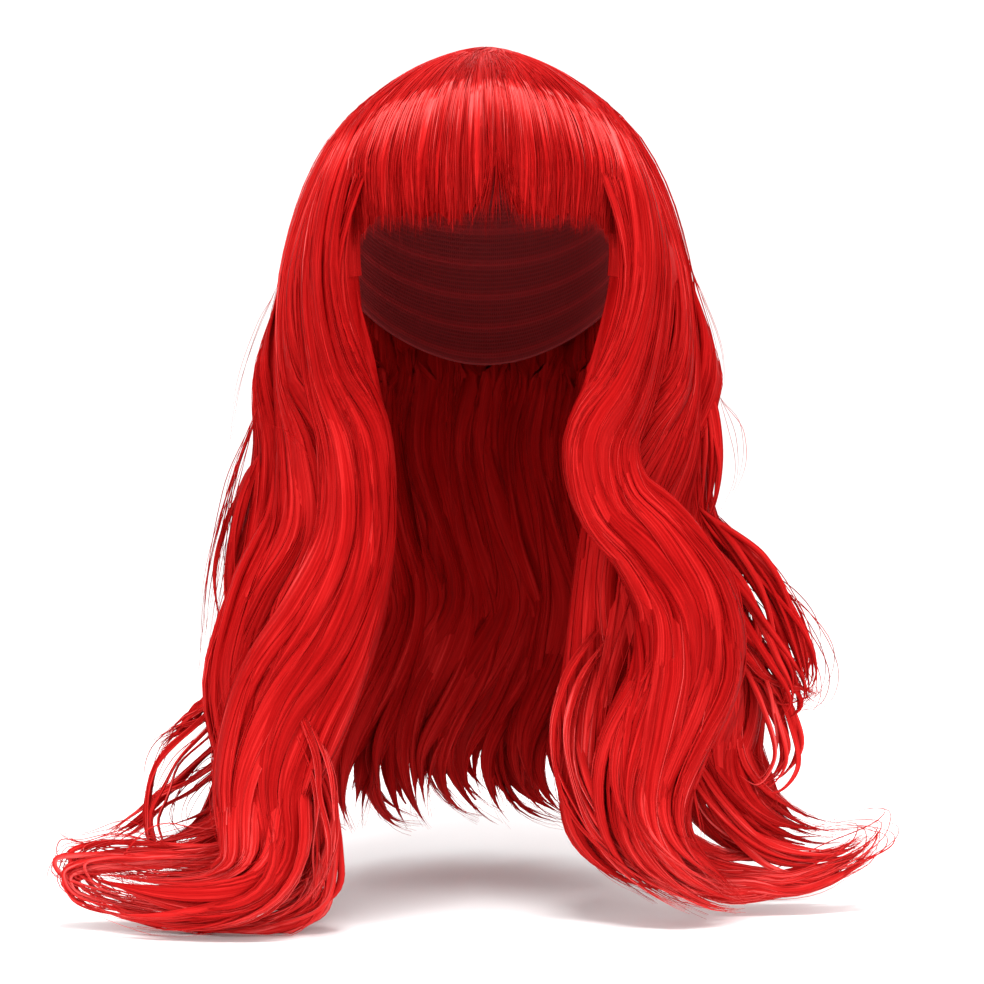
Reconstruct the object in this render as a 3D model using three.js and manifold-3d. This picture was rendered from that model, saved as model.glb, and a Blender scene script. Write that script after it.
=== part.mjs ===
// A long wavy costume wig with a full fringe: a cap, the hair of the crown over it, the fringe,
// and the locks that fall from the edge of the crown hair.
// Millimetres, +Z up, the face towards -Y and the wearer's left towards +X.
// The origin is the point inside the cap that rests on the crown of the head.
import * as THREE from "three";
import Module from "manifold-3d";

const wasm = await Module();
wasm.setup();
const { degToRad, lerp, radToDeg, smoothstep } = THREE.MathUtils;

// The head that the wig is worn on
const HEAD_WIDTH = 148;
const HEAD_FORE = 90; // from the head's middle to the forehead
const HEAD_AFT = 98; // from the head's middle to the back of the head
const HEAD_CROWN = 88; // from the crown down to where the head is widest

// Cap, with its edge in degrees from the crown
const CAP_WALL = 2;
const CAP_FRONT_EDGE = 52;
const CAP_NAPE_EDGE = 132;
const CLEARANCE = 0.5; // between neighbouring pieces

// Hair of the crown, with its lower edge in degrees from the crown
const HAIR_BASE = 3; // from the head to the underside of the hair
const HAIR_LIFT = 30; // from the head to the outside of full hair
const CROWN_SIDE_EDGE = 99;
const CROWN_BACK_EDGE = 106;
const CROWN_RIDGES = 12;
const RIDGE_DEPTH = 0.12; // as a share of the hair's lift
const SEAM = 0.5; // degrees left free between the crown hair and what joins its edges

// Fringe, in degrees from the middle and from the crown
const FRINGE_HALF_ANGLE = 50;
const FRINGE_TOP = 20;
const FRINGE_END = 85;
const FRINGE_TIP = 4; // thickness at its ends
const FRINGE_LOCKS = 9;
const FRINGE_LOCK_DEPTH = 1.2;
const FRINGE_RAGGED = 3; // degrees that the ends of its locks differ by
const FRINGE_GAP_AT = 4;
const FRINGE_GAP_HALF_WIDTH = 5;
const FRINGE_GAP_HEIGHT = 22;

// Falling locks
const WIG_DROP = 416; // from the crown to the surface under the hair's ends
const WIG_HALF_SPREAD = 200; // from the middle to the furthest curl
const WIG_HALF_DEPTH = 100; // from the middle to the foremost curl
const LOCK_WIDTH = 60;
const LOCK_THICKNESS = 34;
const LOCK_FLUTES = 3; // ridges round a lock
const FLUTE_DEPTH = 0.1; // as a share of the lock's section
const LOCK_TWIST = 200; // degrees that the ridges of the front locks turn from root to tip
const LOCK_BLEND = 2; // rows over which a lock takes its own section
const STRAY_WIDTH = 12;

// Columns and rows of points that each piece is lofted through
const CAP_GRID = { steps: 28, rows: 7 };
const CROWN_GRID = { steps: 40, rows: 7 };
const FRINGE_GRID = { steps: 28, rows: 6 };
const LOCK_GRID = { steps: 12, rows: 18 };
const STRAY_GRID = { steps: 6, rows: 9 };

const CAP_LOOK = { color: 0x5c0a10, roughness: 0.9, metalness: 0 };
const HAIR_LOOK = { color: 0xc4121c, roughness: 0.45, metalness: 0 };

// A table of rows with named columns
const table = (columns, rows) =>
  rows.map((row) => Object.fromEntries(columns.split(" ").map((name, i) => [name, row[i]])));

// How far the hair stands off the head as a share of HAIR_LIFT, at degrees from the crown
const LIFT = table("at fore side aft", [
  [0, 0.36, 0.36, 0.36],
  [18, 0.34, 0.3, 0.33],
  [35, 0.43, 0.32, 0.36],
  [50, 0.52, 0.4, 0.42],
  [65, 0.5, 0.52, 0.5],
  [80, 0.42, 0.66, 0.6],
  [95, 0.38, 0.88, 0.72],
  [110, 0.38, 1.15, 0.85],
]);

// Each lock runs from its slot at the edge of the crown hair, counted from the face, through rows to
// its tip. down is a share of WIG_DROP, out of WIG_HALF_SPREAD, ahead of WIG_HALF_DEPTH, wide of
// LOCK_WIDTH and thick of LOCK_THICKNESS. Its broad side looks to the azimuth face and elevation tilt.
const LOCK_COLUMNS = "down out ahead wide thick face tilt";
const LOCK_SLOTS = 11;
const FRONT_LOCKS = {
  right_face_lock: table(LOCK_COLUMNS, [
    [0.35, 0.355, 0.52, 0.72, 0.8, 42, 0],
    [0.44, 0.31, 0.56, 0.68, 0.8, 25, 0],
    [0.54, 0.31, 0.6, 0.7, 0.8, 12, 0],
    [0.64, 0.375, 0.64, 0.82, 0.8, 6, 0],
    [0.74, 0.48, 0.66, 0.92, 0.76, 5, 0],
    [0.84, 0.53, 0.7, 0.84, 0.8, 5, 5],
    [0.92, 0.52, 0.74, 0.72, 0.8, 5, 20],
    [0.965, 0.64, 0.74, 0.66, 0.68, 5, 50],
    [0.962, 0.84, 0.67, 0.56, 0.56, 5, 50],
    [0.93, 1.01, 0.6, 0.14, 0.14, 5, 50],
  ]),
  right_side_lock: table(LOCK_COLUMNS, [
    [0.36, 0.45, 0.14, 0.8, 0.85, 72, 0],
    [0.45, 0.425, 0.24, 0.84, 0.85, 48, 0],
    [0.54, 0.43, 0.3, 0.86, 0.85, 25, 0],
    [0.63, 0.51, 0.36, 0.88, 0.85, 12, 0],
    [0.73, 0.56, 0.39, 0.9, 0.85, 10, 0],
    [0.83, 0.5, 0.43, 0.86, 0.85, 10, 0],
    [0.91, 0.46, 0.46, 0.76, 0.8, 10, 10],
    [0.96, 0.58, 0.46, 0.66, 0.66, 10, 40],
    [0.96, 0.78, 0.42, 0.5, 0.5, 10, 50],
    [0.945, 0.95, 0.38, 0.1, 0.1, 10, 50],
  ]),
  right_outer_lock: table(LOCK_COLUMNS, [
    [0.36, 0.505, -0.2, 0.88, 0.85, 98, 0],
    [0.46, 0.52, -0.16, 0.9, 0.8, 88, 0],
    [0.56, 0.55, -0.1, 0.9, 0.8, 80, 0],
    [0.66, 0.59, -0.04, 0.92, 0.8, 72, 0],
    [0.75, 0.6, 0.02, 0.92, 0.8, 60, 0],
    [0.84, 0.57, 0.08, 0.84, 0.78, 40, 5],
    [0.92, 0.64, 0.12, 0.72, 0.65, 20, 25],
    [0.945, 0.82, 0.15, 0.48, 0.48, 10, 40],
    [0.93, 0.98, 0.18, 0.12, 0.12, 10, 40],
  ]),
  left_face_lock: table(LOCK_COLUMNS, [
    [0.36, 0.335, 0.53, 0.72, 0.8, 40, 0],
    [0.44, 0.28, 0.56, 0.66, 0.8, 22, 0],
    [0.5, 0.31, 0.57, 0.66, 0.8, 12, 0],
    [0.55, 0.4, 0.58, 0.74, 0.8, 6, 0],
    [0.62, 0.485, 0.59, 0.86, 0.8, 5, 0],
    [0.69, 0.485, 0.58, 0.92, 0.78, 5, 0],
    [0.77, 0.42, 0.56, 0.86, 0.8, 5, 0],
    [0.85, 0.375, 0.56, 0.8, 0.8, 5, 0],
    [0.92, 0.43, 0.54, 0.7, 0.7, 5, 10],
    [0.965, 0.55, 0.48, 0.5, 0.5, 5, 35],
    [0.985, 0.64, 0.42, 0.1, 0.1, 5, 50],
  ]),
  left_side_lock: table(LOCK_COLUMNS, [
    [0.36, 0.46, 0.14, 0.84, 0.85, 72, 0],
    [0.44, 0.43, 0.2, 0.86, 0.85, 45, 0],
    [0.52, 0.37, 0.26, 0.94, 0.85, 25, 0],
    [0.61, 0.35, 0.28, 0.96, 0.85, 12, 0],
    [0.7, 0.33, 0.3, 0.94, 0.85, 10, 0],
    [0.78, 0.3, 0.32, 0.88, 0.85, 10, 0],
    [0.86, 0.28, 0.32, 0.78, 0.8, 8, 0],
    [0.92, 0.33, 0.3, 0.7, 0.74, 8, 15],
    [0.96, 0.46, 0.28, 0.56, 0.56, 8, 40],
    [0.97, 0.62, 0.26, 0.1, 0.1, 8, 50],
  ]),
  left_outer_lock: table(LOCK_COLUMNS, [
    [0.36, 0.515, -0.2, 0.88, 0.85, 98, 0],
    [0.45, 0.505, -0.18, 0.86, 0.78, 88, 0],
    [0.53, 0.515, -0.12, 0.86, 0.76, 80, 0],
    [0.6, 0.565, -0.07, 0.92, 0.8, 72, 0],
    [0.68, 0.585, -0.03, 0.96, 0.8, 60, 0],
    [0.75, 0.6, -0.01, 0.96, 0.8, 45, 0],
    [0.83, 0.58, -0.01, 0.94, 0.78, 28, 0],
    [0.9, 0.66, -0.02, 0.76, 0.66, 18, 8],
    [0.935, 0.81, -0.04, 0.54, 0.48, 12, 35],
    [0.915, 0.985, -0.06, 0.12, 0.12, 10, 40],
  ]),
};

// The locks behind the shoulders share one route. spread is a share of the root's distance from the
// middle and sway is a share of LOCK_WIDTH along the head's outline.
const BACK_ROUTE = table("down spread sway wide thick tilt", [
  [0.37, 0.97, 0.0, 0.86, 0.8, 0],
  [0.46, 0.93, 0.08, 0.86, 0.84, 0],
  [0.56, 0.91, -0.06, 0.86, 0.84, 0],
  [0.66, 0.93, -0.24, 0.87, 0.84, 0],
  [0.76, 0.97, -0.06, 0.87, 0.8, 0],
  [0.85, 1.0, 0.24, 0.84, 0.76, 0],
  [0.92, 1.06, 0.14, 0.66, 0.6, 15],
  [0.965, 1.22, -0.2, 0.12, 0.12, 35],
]);
const BACK_LOCKS = [
  "left_shoulder_lock",
  "left_back_lock",
  "middle_back_lock",
  "right_back_lock",
  "right_shoulder_lock",
];

// Thin strays that leave the locks, in the columns of the front locks but wide and thick as shares
// of STRAY_WIDTH
const STRAYS = {
  right_wisp: table(LOCK_COLUMNS, [
    [0.69, 0.47, 0.66, 0.9, 0.7, 10, 0],
    [0.74, 0.45, 0.74, 1, 0.7, 5, 0],
    [0.8, 0.4, 0.78, 1, 0.7, 0, 0],
    [0.86, 0.37, 0.78, 1, 0.7, 0, 0],
    [0.92, 0.38, 0.78, 0.8, 0.7, 0, 0],
    [0.965, 0.42, 0.8, 0.2, 0.2, 0, 0],
  ]),
  right_flick: table(LOCK_COLUMNS, [
    [0.71, 0.6, 0.12, 1, 0.8, 20, 20],
    [0.75, 0.67, 0.13, 1, 0.8, 10, 40],
    [0.78, 0.74, 0.14, 0.8, 0.6, 5, 50],
    [0.805, 0.81, 0.15, 0.2, 0.2, 5, 50],
  ]),
  right_loop: table(LOCK_COLUMNS, [
    [0.74, 0.6, 0.2, 1, 0.8, 20, 20],
    [0.78, 0.69, 0.24, 1, 0.8, 10, 30],
    [0.825, 0.78, 0.28, 1, 0.8, 5, 10],
    [0.88, 0.82, 0.32, 1, 0.8, 5, 0],
    [0.925, 0.8, 0.36, 0.9, 0.8, 5, 0],
    [0.955, 0.76, 0.42, 0.2, 0.2, 5, 0],
  ]),
  right_drop: table(LOCK_COLUMNS, [
    [0.79, 0.59, 0.1, 1.2, 0.8, 20, 20],
    [0.83, 0.69, 0.1, 1.2, 0.8, 10, 40],
    [0.87, 0.79, 0.1, 1.1, 0.8, 5, 50],
    [0.905, 0.89, 0.1, 0.9, 0.6, 5, 50],
    [0.925, 0.97, 0.1, 0.2, 0.2, 5, 50],
  ]),
  left_wisp: table(LOCK_COLUMNS, [
    [0.66, 0.29, 0.42, 0.9, 0.7, 5, 0],
    [0.71, 0.22, 0.48, 1, 0.7, 0, 0],
    [0.77, 0.19, 0.5, 1, 0.7, 0, 0],
    [0.84, 0.21, 0.52, 1, 0.7, 0, 0],
    [0.905, 0.3, 0.54, 1, 0.7, 0, 20],
    [0.955, 0.45, 0.62, 0.9, 0.7, 0, 50],
    [0.98, 0.6, 0.62, 0.2, 0.2, 0, 50],
  ]),
  left_flick: table(LOCK_COLUMNS, [
    [0.65, 0.59, 0.1, 1.6, 1, 20, 10],
    [0.7, 0.67, 0.1, 1.6, 1, 10, 30],
    [0.735, 0.75, 0.1, 1.3, 0.9, 5, 60],
    [0.745, 0.83, 0.1, 0.2, 0.2, 5, 70],
  ]),
  left_loop: table(LOCK_COLUMNS, [
    [0.54, 0.57, -0.04, 0.9, 0.7, 20, 10],
    [0.59, 0.67, -0.04, 0.9, 0.7, 10, 20],
    [0.645, 0.76, -0.02, 0.8, 0.7, 5, 10],
    [0.7, 0.81, 0.02, 0.7, 0.6, 5, 0],
    [0.735, 0.79, 0.07, 0.2, 0.2, 5, 0],
  ]),
  left_curl: table(LOCK_COLUMNS, [
    [0.86, 0.36, 0.28, 1.6, 1.2, 5, 0],
    [0.92, 0.45, 0.26, 2.2, 1.6, 5, 15],
    [0.957, 0.58, 0.24, 2.4, 1.6, 5, 45],
    [0.962, 0.7, 0.22, 2.4, 1.6, 5, 60],
    [0.955, 0.82, 0.2, 2.1, 1.4, 5, 60],
    [0.935, 0.93, 0.15, 1.4, 1, 5, 60],
    [0.905, 0.985, 0.08, 0.3, 0.3, 5, 60],
  ]),
};

// Rows to values, by a smooth curve through the column
function through(rows, column, position) {
  const at = Math.min(Math.max(position, 0), rows.length - 1);
  const i = Math.min(Math.floor(at), rows.length - 2);
  const value = (k) => rows[Math.min(Math.max(k, 0), rows.length - 1)][column];
  const [a, b, c, d] = [i - 1, i, i + 1, i + 2].map(value);
  const t = at - i;
  return b + 0.5 * t * (c - a + t * (2 * a - 5 * b + 4 * c - d + t * (3 * (b - c) + d - a)));
}

// Position of a value in a rising column, in rows
function positionOf(rows, column, value) {
  const next = rows.findIndex((row) => row[column] > value);
  if (next < 0) return rows.length - 1;
  const i = Math.max(next - 1, 0);
  return i + (value - rows[i][column]) / (rows[next][column] - rows[i][column]);
}

// A point on the head, or lifted off it along its normal. azimuth is 0 at the face and rises towards
// the wearer's left, polar is measured from the crown, both in degrees.
function headPoint(azimuth, polar, lift = 0) {
  const [turn, lean] = [degToRad(azimuth), degToRad(polar)];
  const depth = Math.cos(turn) > 0 ? HEAD_FORE : HEAD_AFT;
  const radii = new THREE.Vector3(HEAD_WIDTH / 2, depth, HEAD_CROWN);
  const unit = new THREE.Vector3(
    Math.sin(lean) * Math.sin(turn),
    -Math.sin(lean) * Math.cos(turn),
    Math.cos(lean),
  );
  const normal = unit.clone().divide(radii).normalize();
  return unit
    .multiply(radii)
    .add(new THREE.Vector3(0, 0, -HEAD_CROWN))
    .addScaledVector(normal, lift);
}

// How far the hair's outer surface stands off the head
function hairLift(azimuth, polar) {
  const at = positionOf(LIFT, "at", polar);
  const turn = degToRad(azimuth);
  const facing = Math.cos(turn) > 0 ? "fore" : "aft";
  const share = Math.cos(turn) ** 2;
  return HAIR_LIFT * lerp(through(LIFT, "side", at), through(LIFT, facing, at), share);
}

// The polar angle that an edge has at an azimuth, from its values at the front and back
const edgeAt = (azimuth, front, back) => lerp(front, back, (1 - Math.cos(degToRad(azimuth))) / 2);
const crownEdge = (azimuth) =>
  edgeAt(azimuth, 2 * CROWN_SIDE_EDGE - CROWN_BACK_EDGE, CROWN_BACK_EDGE);

const range = (count) => Array.from({ length: count }, (_, i) => i);
const middleOf = (points) =>
  points.reduce((sum, point) => sum.add(point), new THREE.Vector3()).divideScalar(points.length);

// A closed solid through rings of points, with both ends drawn to a point
function loft(rings, start = middleOf(rings[0]), end = middleOf(rings.at(-1))) {
  const steps = rings[0].length;
  const points = [start, ...rings.flat(), end];
  const at = (ring, step) => 1 + ring * steps + (step % steps);
  const index = range(steps).flatMap((step) => [
    ...[0, at(0, step), at(0, step + 1)],
    ...range(rings.length - 1).flatMap((ring) => {
      const [a, b] = [at(ring, step), at(ring, step + 1)];
      const [c, d] = [at(ring + 1, step), at(ring + 1, step + 1)];
      return [a, d, b, a, c, d];
    }),
    ...[points.length - 1, at(rings.length - 1, step + 1), at(rings.length - 1, step)],
  ]);
  const vertProperties = new Float32Array(points.flatMap((point) => point.toArray()));
  const mesh = new wasm.Mesh({ numProp: 3, vertProperties, triVerts: new Uint32Array(index) });
  return new wasm.Manifold(mesh);
}

// A hollow dome from the crown to an edge, through outer rings down and inner rings up
function dome({ steps, rows }, outer, inner, edge) {
  const ring = (surface, share) =>
    range(steps).map((step) => {
      const azimuth = (360 * step) / steps;
      return surface(azimuth, share * edge(azimuth));
    });
  const shares = range(rows).map((row) => (row + 1) / rows);
  const outside = shares.map((share) => ring(outer, share));
  const inside = shares.toReversed().map((share) => ring(inner, share));
  return loft([...outside, ...inside], outer(0, 0), inner(0, 0));
}

// grow makes a piece bigger all round, for cutting a clear space for it out of its neighbours
function capSolid(grow = 0) {
  return dome(
    CAP_GRID,
    (azimuth, polar) => headPoint(azimuth, polar, CAP_WALL + grow),
    (azimuth, polar) => headPoint(azimuth, polar, -grow),
    (azimuth) => edgeAt(azimuth, CAP_FRONT_EDGE, CAP_NAPE_EDGE) + grow,
  );
}

// The outer surface of the crown hair, with ridges that run down from the crown
function crownSurface(azimuth, polar) {
  const ridge = RIDGE_DEPTH * Math.cos(degToRad(azimuth * CROWN_RIDGES)) * smoothstep(polar, 0, 60);
  return headPoint(azimuth, polar, hairLift(azimuth, polar) * (1 + ridge));
}

const underHair = (azimuth, polar) => headPoint(azimuth, polar, HAIR_BASE);

// A curved sheet over the face, between two edges given as polar angles
function sheet({ halfAngle, top, end, outer, inner }) {
  const { steps, rows } = FRINGE_GRID;
  const rings = range(steps + 1).map((step) => {
    const azimuth = lerp(halfAngle, -halfAngle, step / steps);
    const polars = range(rows + 1).map((row) => lerp(top, end(azimuth), row / rows));
    const outside = polars.map((polar) => outer(azimuth, polar));
    const inside = polars.toReversed().map((polar) => inner(azimuth, polar));
    return [...outside, ...inside];
  });
  return loft(rings);
}

// The crown hair is open over the forehead and face, where the fringe sits
function crownSolid() {
  const opening = sheet({
    halfAngle: FRINGE_HALF_ANGLE,
    top: FRINGE_TOP,
    end: () => 1.5 * CROWN_BACK_EDGE,
    outer: (azimuth, polar) => headPoint(azimuth, polar, 3 * HAIR_LIFT),
    inner: (azimuth, polar) => headPoint(azimuth, polar, -CAP_WALL),
  });
  return dome(CROWN_GRID, crownSurface, underHair, crownEdge).subtract(opening);
}

// The fringe is made of locks side by side, with ragged ends and a gap over the nose
function fringeSolid() {
  const lock = (azimuth) => Math.cos(degToRad((azimuth * 180 * FRINGE_LOCKS) / FRINGE_HALF_ANGLE));
  const gap = (azimuth) => {
    const away = Math.abs(azimuth - FRINGE_GAP_AT) / FRINGE_GAP_HALF_WIDTH;
    return FRINGE_GAP_HEIGHT * Math.max(0, 1 - away);
  };
  return sheet({
    halfAngle: FRINGE_HALF_ANGLE - SEAM,
    top: FRINGE_TOP + SEAM,
    end: (azimuth) => FRINGE_END + FRINGE_RAGGED * lock(azimuth) - gap(azimuth),
    outer: (azimuth, polar) => {
      const thin = smoothstep(polar, FRINGE_END - 20, FRINGE_END);
      const lift = lerp(hairLift(azimuth, polar), HAIR_BASE + FRINGE_TIP, thin);
      return headPoint(azimuth, polar, lift + FRINGE_LOCK_DEPTH * lock(azimuth));
    },
    inner: underHair,
  });
}

// The ring of a lock where it leaves the edge of the crown hair: an outer arc and an inner one.
// Slots are counted from the face, below zero on the wearer's right.
function rootRing(slot, { steps }) {
  const width = (360 - 2 * FRINGE_HALF_ANGLE) / LOCK_SLOTS;
  const middle = Math.sign(slot) * (FRINGE_HALF_ANGLE + width * (Math.abs(slot) - 0.5));
  const half = steps / 2;
  const azimuths = range(half).map((i) => middle + (width / 2 - SEAM) * ((2 * i) / (half - 1) - 1));
  const polar = (azimuth) => crownEdge(azimuth) + SEAM;
  const outer = (azimuth) =>
    headPoint(azimuth, polar(azimuth), hairLift(azimuth, polar(azimuth)));
  const inner = (azimuth) => underHair(azimuth, polar(azimuth));
  return [...azimuths.map(outer), ...azimuths.toReversed().map(inner)];
}

// A lock through rows with a place, wide and thick in millimetres, and the way its broad side looks.
// Its sections are ellipses square to its route, with flutes that turn towards the tip. A lock with
// a root ring starts as that ring and takes its own section within LOCK_BLEND rows.
function lockSolid(rows, { steps, rows: count }, { root, twist = 0, grow = 0 }) {
  const route = new THREE.CatmullRomCurve3(
    rows.map((row) => row.place),
    false,
    "centripetal",
  );
  const rings = range(count).map((k) => {
    const share = k / (count - 1);
    const position = share * (rows.length - 1);
    const value = (column) => through(rows, column, position);
    const along = route.getTangent(share);
    const [face, tilt] = [degToRad(value("face")), degToRad(value("tilt"))];
    const out = new THREE.Vector3(
      Math.sin(face) * Math.cos(tilt),
      -Math.cos(face) * Math.cos(tilt),
      Math.sin(tilt),
    );
    out.addScaledVector(along, -out.dot(along)).normalize();
    const across = new THREE.Vector3().crossVectors(out, along);
    const beyond = { 0: -grow, [count - 1]: grow }[k] ?? 0;
    const centre = route.getPoint(share).addScaledVector(along, beyond);
    const blend = root ? smoothstep(position, 0, LOCK_BLEND) : 1;
    return range(steps).map((step) => {
      const turn = Math.PI - (2 * Math.PI * (step + 0.5)) / steps;
      const flute = 1 - FLUTE_DEPTH * Math.sin(LOCK_FLUTES * turn + degToRad(twist) * share);
      const point = centre.clone();
      point.addScaledVector(across, ((flute * value("wide")) / 2 + grow) * Math.cos(turn));
      point.addScaledVector(out, ((flute * value("thick")) / 2 + grow) * Math.sin(turn));
      if (blend === 1) return point;
      const away = root[step].clone().sub(rows[0].place);
      const rooted = away.setLength(away.length() + 1.5 * grow).add(centre);
      return rooted.lerp(point, blend);
    });
  });
  return loft(rings);
}

// Rows of a table in millimetres and degrees, on one side of the wig
function placed(rows, side, width, thickness) {
  return rows.map((row) => ({
    wide: row.wide * width,
    thick: row.thick * thickness,
    face: side * row.face,
    tilt: row.tilt,
    place: new THREE.Vector3(
      side * row.out * WIG_HALF_SPREAD,
      -row.ahead * WIG_HALF_DEPTH,
      -row.down * WIG_DROP,
    ),
  }));
}

// A lock that starts at the edge of the crown hair
function rooted(rows, options) {
  const first = { ...rows[0], place: middleOf(options.root) };
  return lockSolid([first, ...rows], LOCK_GRID, options);
}

function frontLock(rows, side, slot) {
  const below = placed(rows, side, LOCK_WIDTH, LOCK_THICKNESS);
  const root = rootRing(side * slot, LOCK_GRID);
  return (grow) => rooted(below, { root, twist: LOCK_TWIST, grow });
}

function backLock(slot) {
  const root = rootRing(slot, LOCK_GRID);
  const start = middleOf(root);
  const sideways = new THREE.Vector3(-start.y, start.x, 0).normalize();
  const below = BACK_ROUTE.map((row) => ({
    wide: row.wide * LOCK_WIDTH,
    thick: row.thick * LOCK_THICKNESS,
    face: radToDeg(Math.atan2(start.x, -start.y)),
    tilt: row.tilt,
    place: new THREE.Vector3(start.x, start.y, 0)
      .multiplyScalar(row.spread)
      .addScaledVector(sideways, row.sway * LOCK_WIDTH)
      .setZ(-row.down * WIG_DROP),
  }));
  return (grow) => rooted(below, { root, grow });
}

function stray(rows, side) {
  const all = placed(rows, side, STRAY_WIDTH, STRAY_WIDTH);
  return (grow) => lockSolid(all, STRAY_GRID, { twist: LOCK_TWIST, grow });
}

// Every piece is cut back by the ones added before it, so that CLEARANCE stays between them
const pieces = new Map();
const spaces = [];
const meets = (a, b) =>
  range(3).every((i) => a.min[i] < b.max[i] && b.min[i] < a.max[i]);

function add(name, make) {
  const whole = make(0);
  const box = whole.boundingBox();
  const near = spaces.filter((space) => meets(space.boundingBox(), box));
  const parts = near.reduce((solid, space) => solid.subtract(space), whole).decompose();
  pieces.set(name, parts.sort((a, b) => b.volume() - a.volume())[0]);
  if (name !== "crown_hair") spaces.push(make(CLEARANCE));
}

const sideOf = (name) => (name.startsWith("right") ? -1 : 1);
add("cap", capSolid);
add("crown_hair", crownSolid);
add("fringe", fringeSolid);
Object.entries(FRONT_LOCKS).forEach(([name, rows], i) => {
  add(name, frontLock(rows, sideOf(name), (i % 3) + 1));
});
BACK_LOCKS.forEach((name, i) => add(name, backLock(i + 4)));
Object.entries(STRAYS).forEach(([name, rows]) => add(name, stray(rows, sideOf(name))));

// A manifold-3d solid as a mesh
function meshOf(name, solid) {
  const { numProp, vertProperties, triVerts } = solid.getMesh();
  const buffer = new THREE.InterleavedBuffer(vertProperties, numProp);
  const geometry = new THREE.BufferGeometry();
  geometry.setAttribute("position", new THREE.InterleavedBufferAttribute(buffer, 3, 0));
  geometry.setIndex(new THREE.BufferAttribute(triVerts, 1));
  geometry.computeVertexNormals();
  const look = name === "cap" ? CAP_LOOK : HAIR_LOOK;
  const mesh = new THREE.Mesh(geometry, new THREE.MeshStandardMaterial(look));
  mesh.name = name;
  return mesh;
}

const wig = new THREE.Group();
pieces.forEach((solid, name) => wig.add(meshOf(name, solid)));
export default wig;
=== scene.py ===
import math

import bpy
import numpy as np
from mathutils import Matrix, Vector


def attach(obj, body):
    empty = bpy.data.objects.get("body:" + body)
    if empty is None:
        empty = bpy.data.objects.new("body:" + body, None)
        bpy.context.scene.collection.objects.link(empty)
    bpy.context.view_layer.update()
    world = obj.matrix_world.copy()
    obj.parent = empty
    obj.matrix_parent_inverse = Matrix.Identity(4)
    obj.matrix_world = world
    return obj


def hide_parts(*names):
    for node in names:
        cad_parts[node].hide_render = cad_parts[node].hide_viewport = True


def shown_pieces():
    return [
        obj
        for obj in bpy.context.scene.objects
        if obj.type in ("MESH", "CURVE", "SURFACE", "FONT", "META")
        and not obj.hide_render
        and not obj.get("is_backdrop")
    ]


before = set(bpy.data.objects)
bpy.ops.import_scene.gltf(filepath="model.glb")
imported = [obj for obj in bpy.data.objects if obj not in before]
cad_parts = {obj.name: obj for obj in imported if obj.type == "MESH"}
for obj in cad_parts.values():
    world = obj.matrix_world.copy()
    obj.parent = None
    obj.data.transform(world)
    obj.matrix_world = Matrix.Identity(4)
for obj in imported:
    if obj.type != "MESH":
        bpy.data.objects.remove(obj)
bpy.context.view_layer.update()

# The wig in millimetres: +Z up, the face towards -Y, the wearer's left towards +X
HEAD_WIDTH, HEAD_FORE, HEAD_AFT, HEAD_CROWN = 148, 90, 98, 88
CAP_WALL, CAP_FRONT_EDGE, CAP_NAPE_EDGE = 2, 52, 132
HAIR_BASE, HAIR_LIFT = 3, 30
CROWN_SIDE_EDGE, CROWN_BACK_EDGE, CROWN_RIDGES, RIDGE_DEPTH, SEAM = 99, 106, 12, 0.12, 0.5
FRINGE_HALF_ANGLE, FRINGE_TOP, FRINGE_END, FRINGE_TIP, FRINGE_LOCKS = 50, 20, 85, 4, 9
FRINGE_GAP_AT = 4
WIG_DROP, WIG_HALF_SPREAD, WIG_HALF_DEPTH = 416, 200, 100
LOCK_WIDTH, LOCK_THICKNESS, LOCK_SLOTS, LOCK_BLEND, STRAY_WIDTH = 60, 34, 11, 2, 12
FLOOR, FLOOR_GAP = -417.3, 0.2
SLOT_ANGLE = (360 - 2 * FRINGE_HALF_ANGLE) / LOCK_SLOTS
CROWN_TOP, CAP_TOP, CAP_ROWS = 0.05, 0.5, 48

# How the hair is divided
SIDES = {"bundle": 6, "hair": 3}
BUNDLE_RADIUS = 1  # mm, above which loose hair is made as flat bundles
HEM_BUNDLES = 5  # extra thin bundles of a lock at the side of the face opening
INSIDE_HAIRS = 3  # single hairs on each bundle at the inside of a lock
LOCK_STEPS, OVER_CROWN_POINTS, WHORL_POINTS = 256, 11, 12
CYCLE = 6.28  # one round of a wave along the hair, in radians
SHEET_HEIGHT = 0.95  # where the crown's outer sheet lies, as a share of the hair's height
# Base tones of the hair; the darker tone of the inner sheets and walls is painted shade
OUTER_TONE, CORE_TONE, INNER_SHADE_TONE = 0.46, 0.44, 0.36
ACROSS, DOWNWARD = 1.9, 1.7  # mm of the streaks' map to a degree round the head and down it

# How far the hair stands off the head as a share of HAIR_LIFT: degrees from the crown, then at the
# front, the sides and the back
LIFT = np.array([
    [0, 0.36, 0.36, 0.36], [18, 0.34, 0.3, 0.33], [35, 0.43, 0.32, 0.36], [50, 0.52, 0.4, 0.42],
    [65, 0.5, 0.52, 0.5], [80, 0.42, 0.66, 0.6], [95, 0.38, 0.88, 0.72], [110, 0.38, 1.15, 0.85],
])

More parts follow.
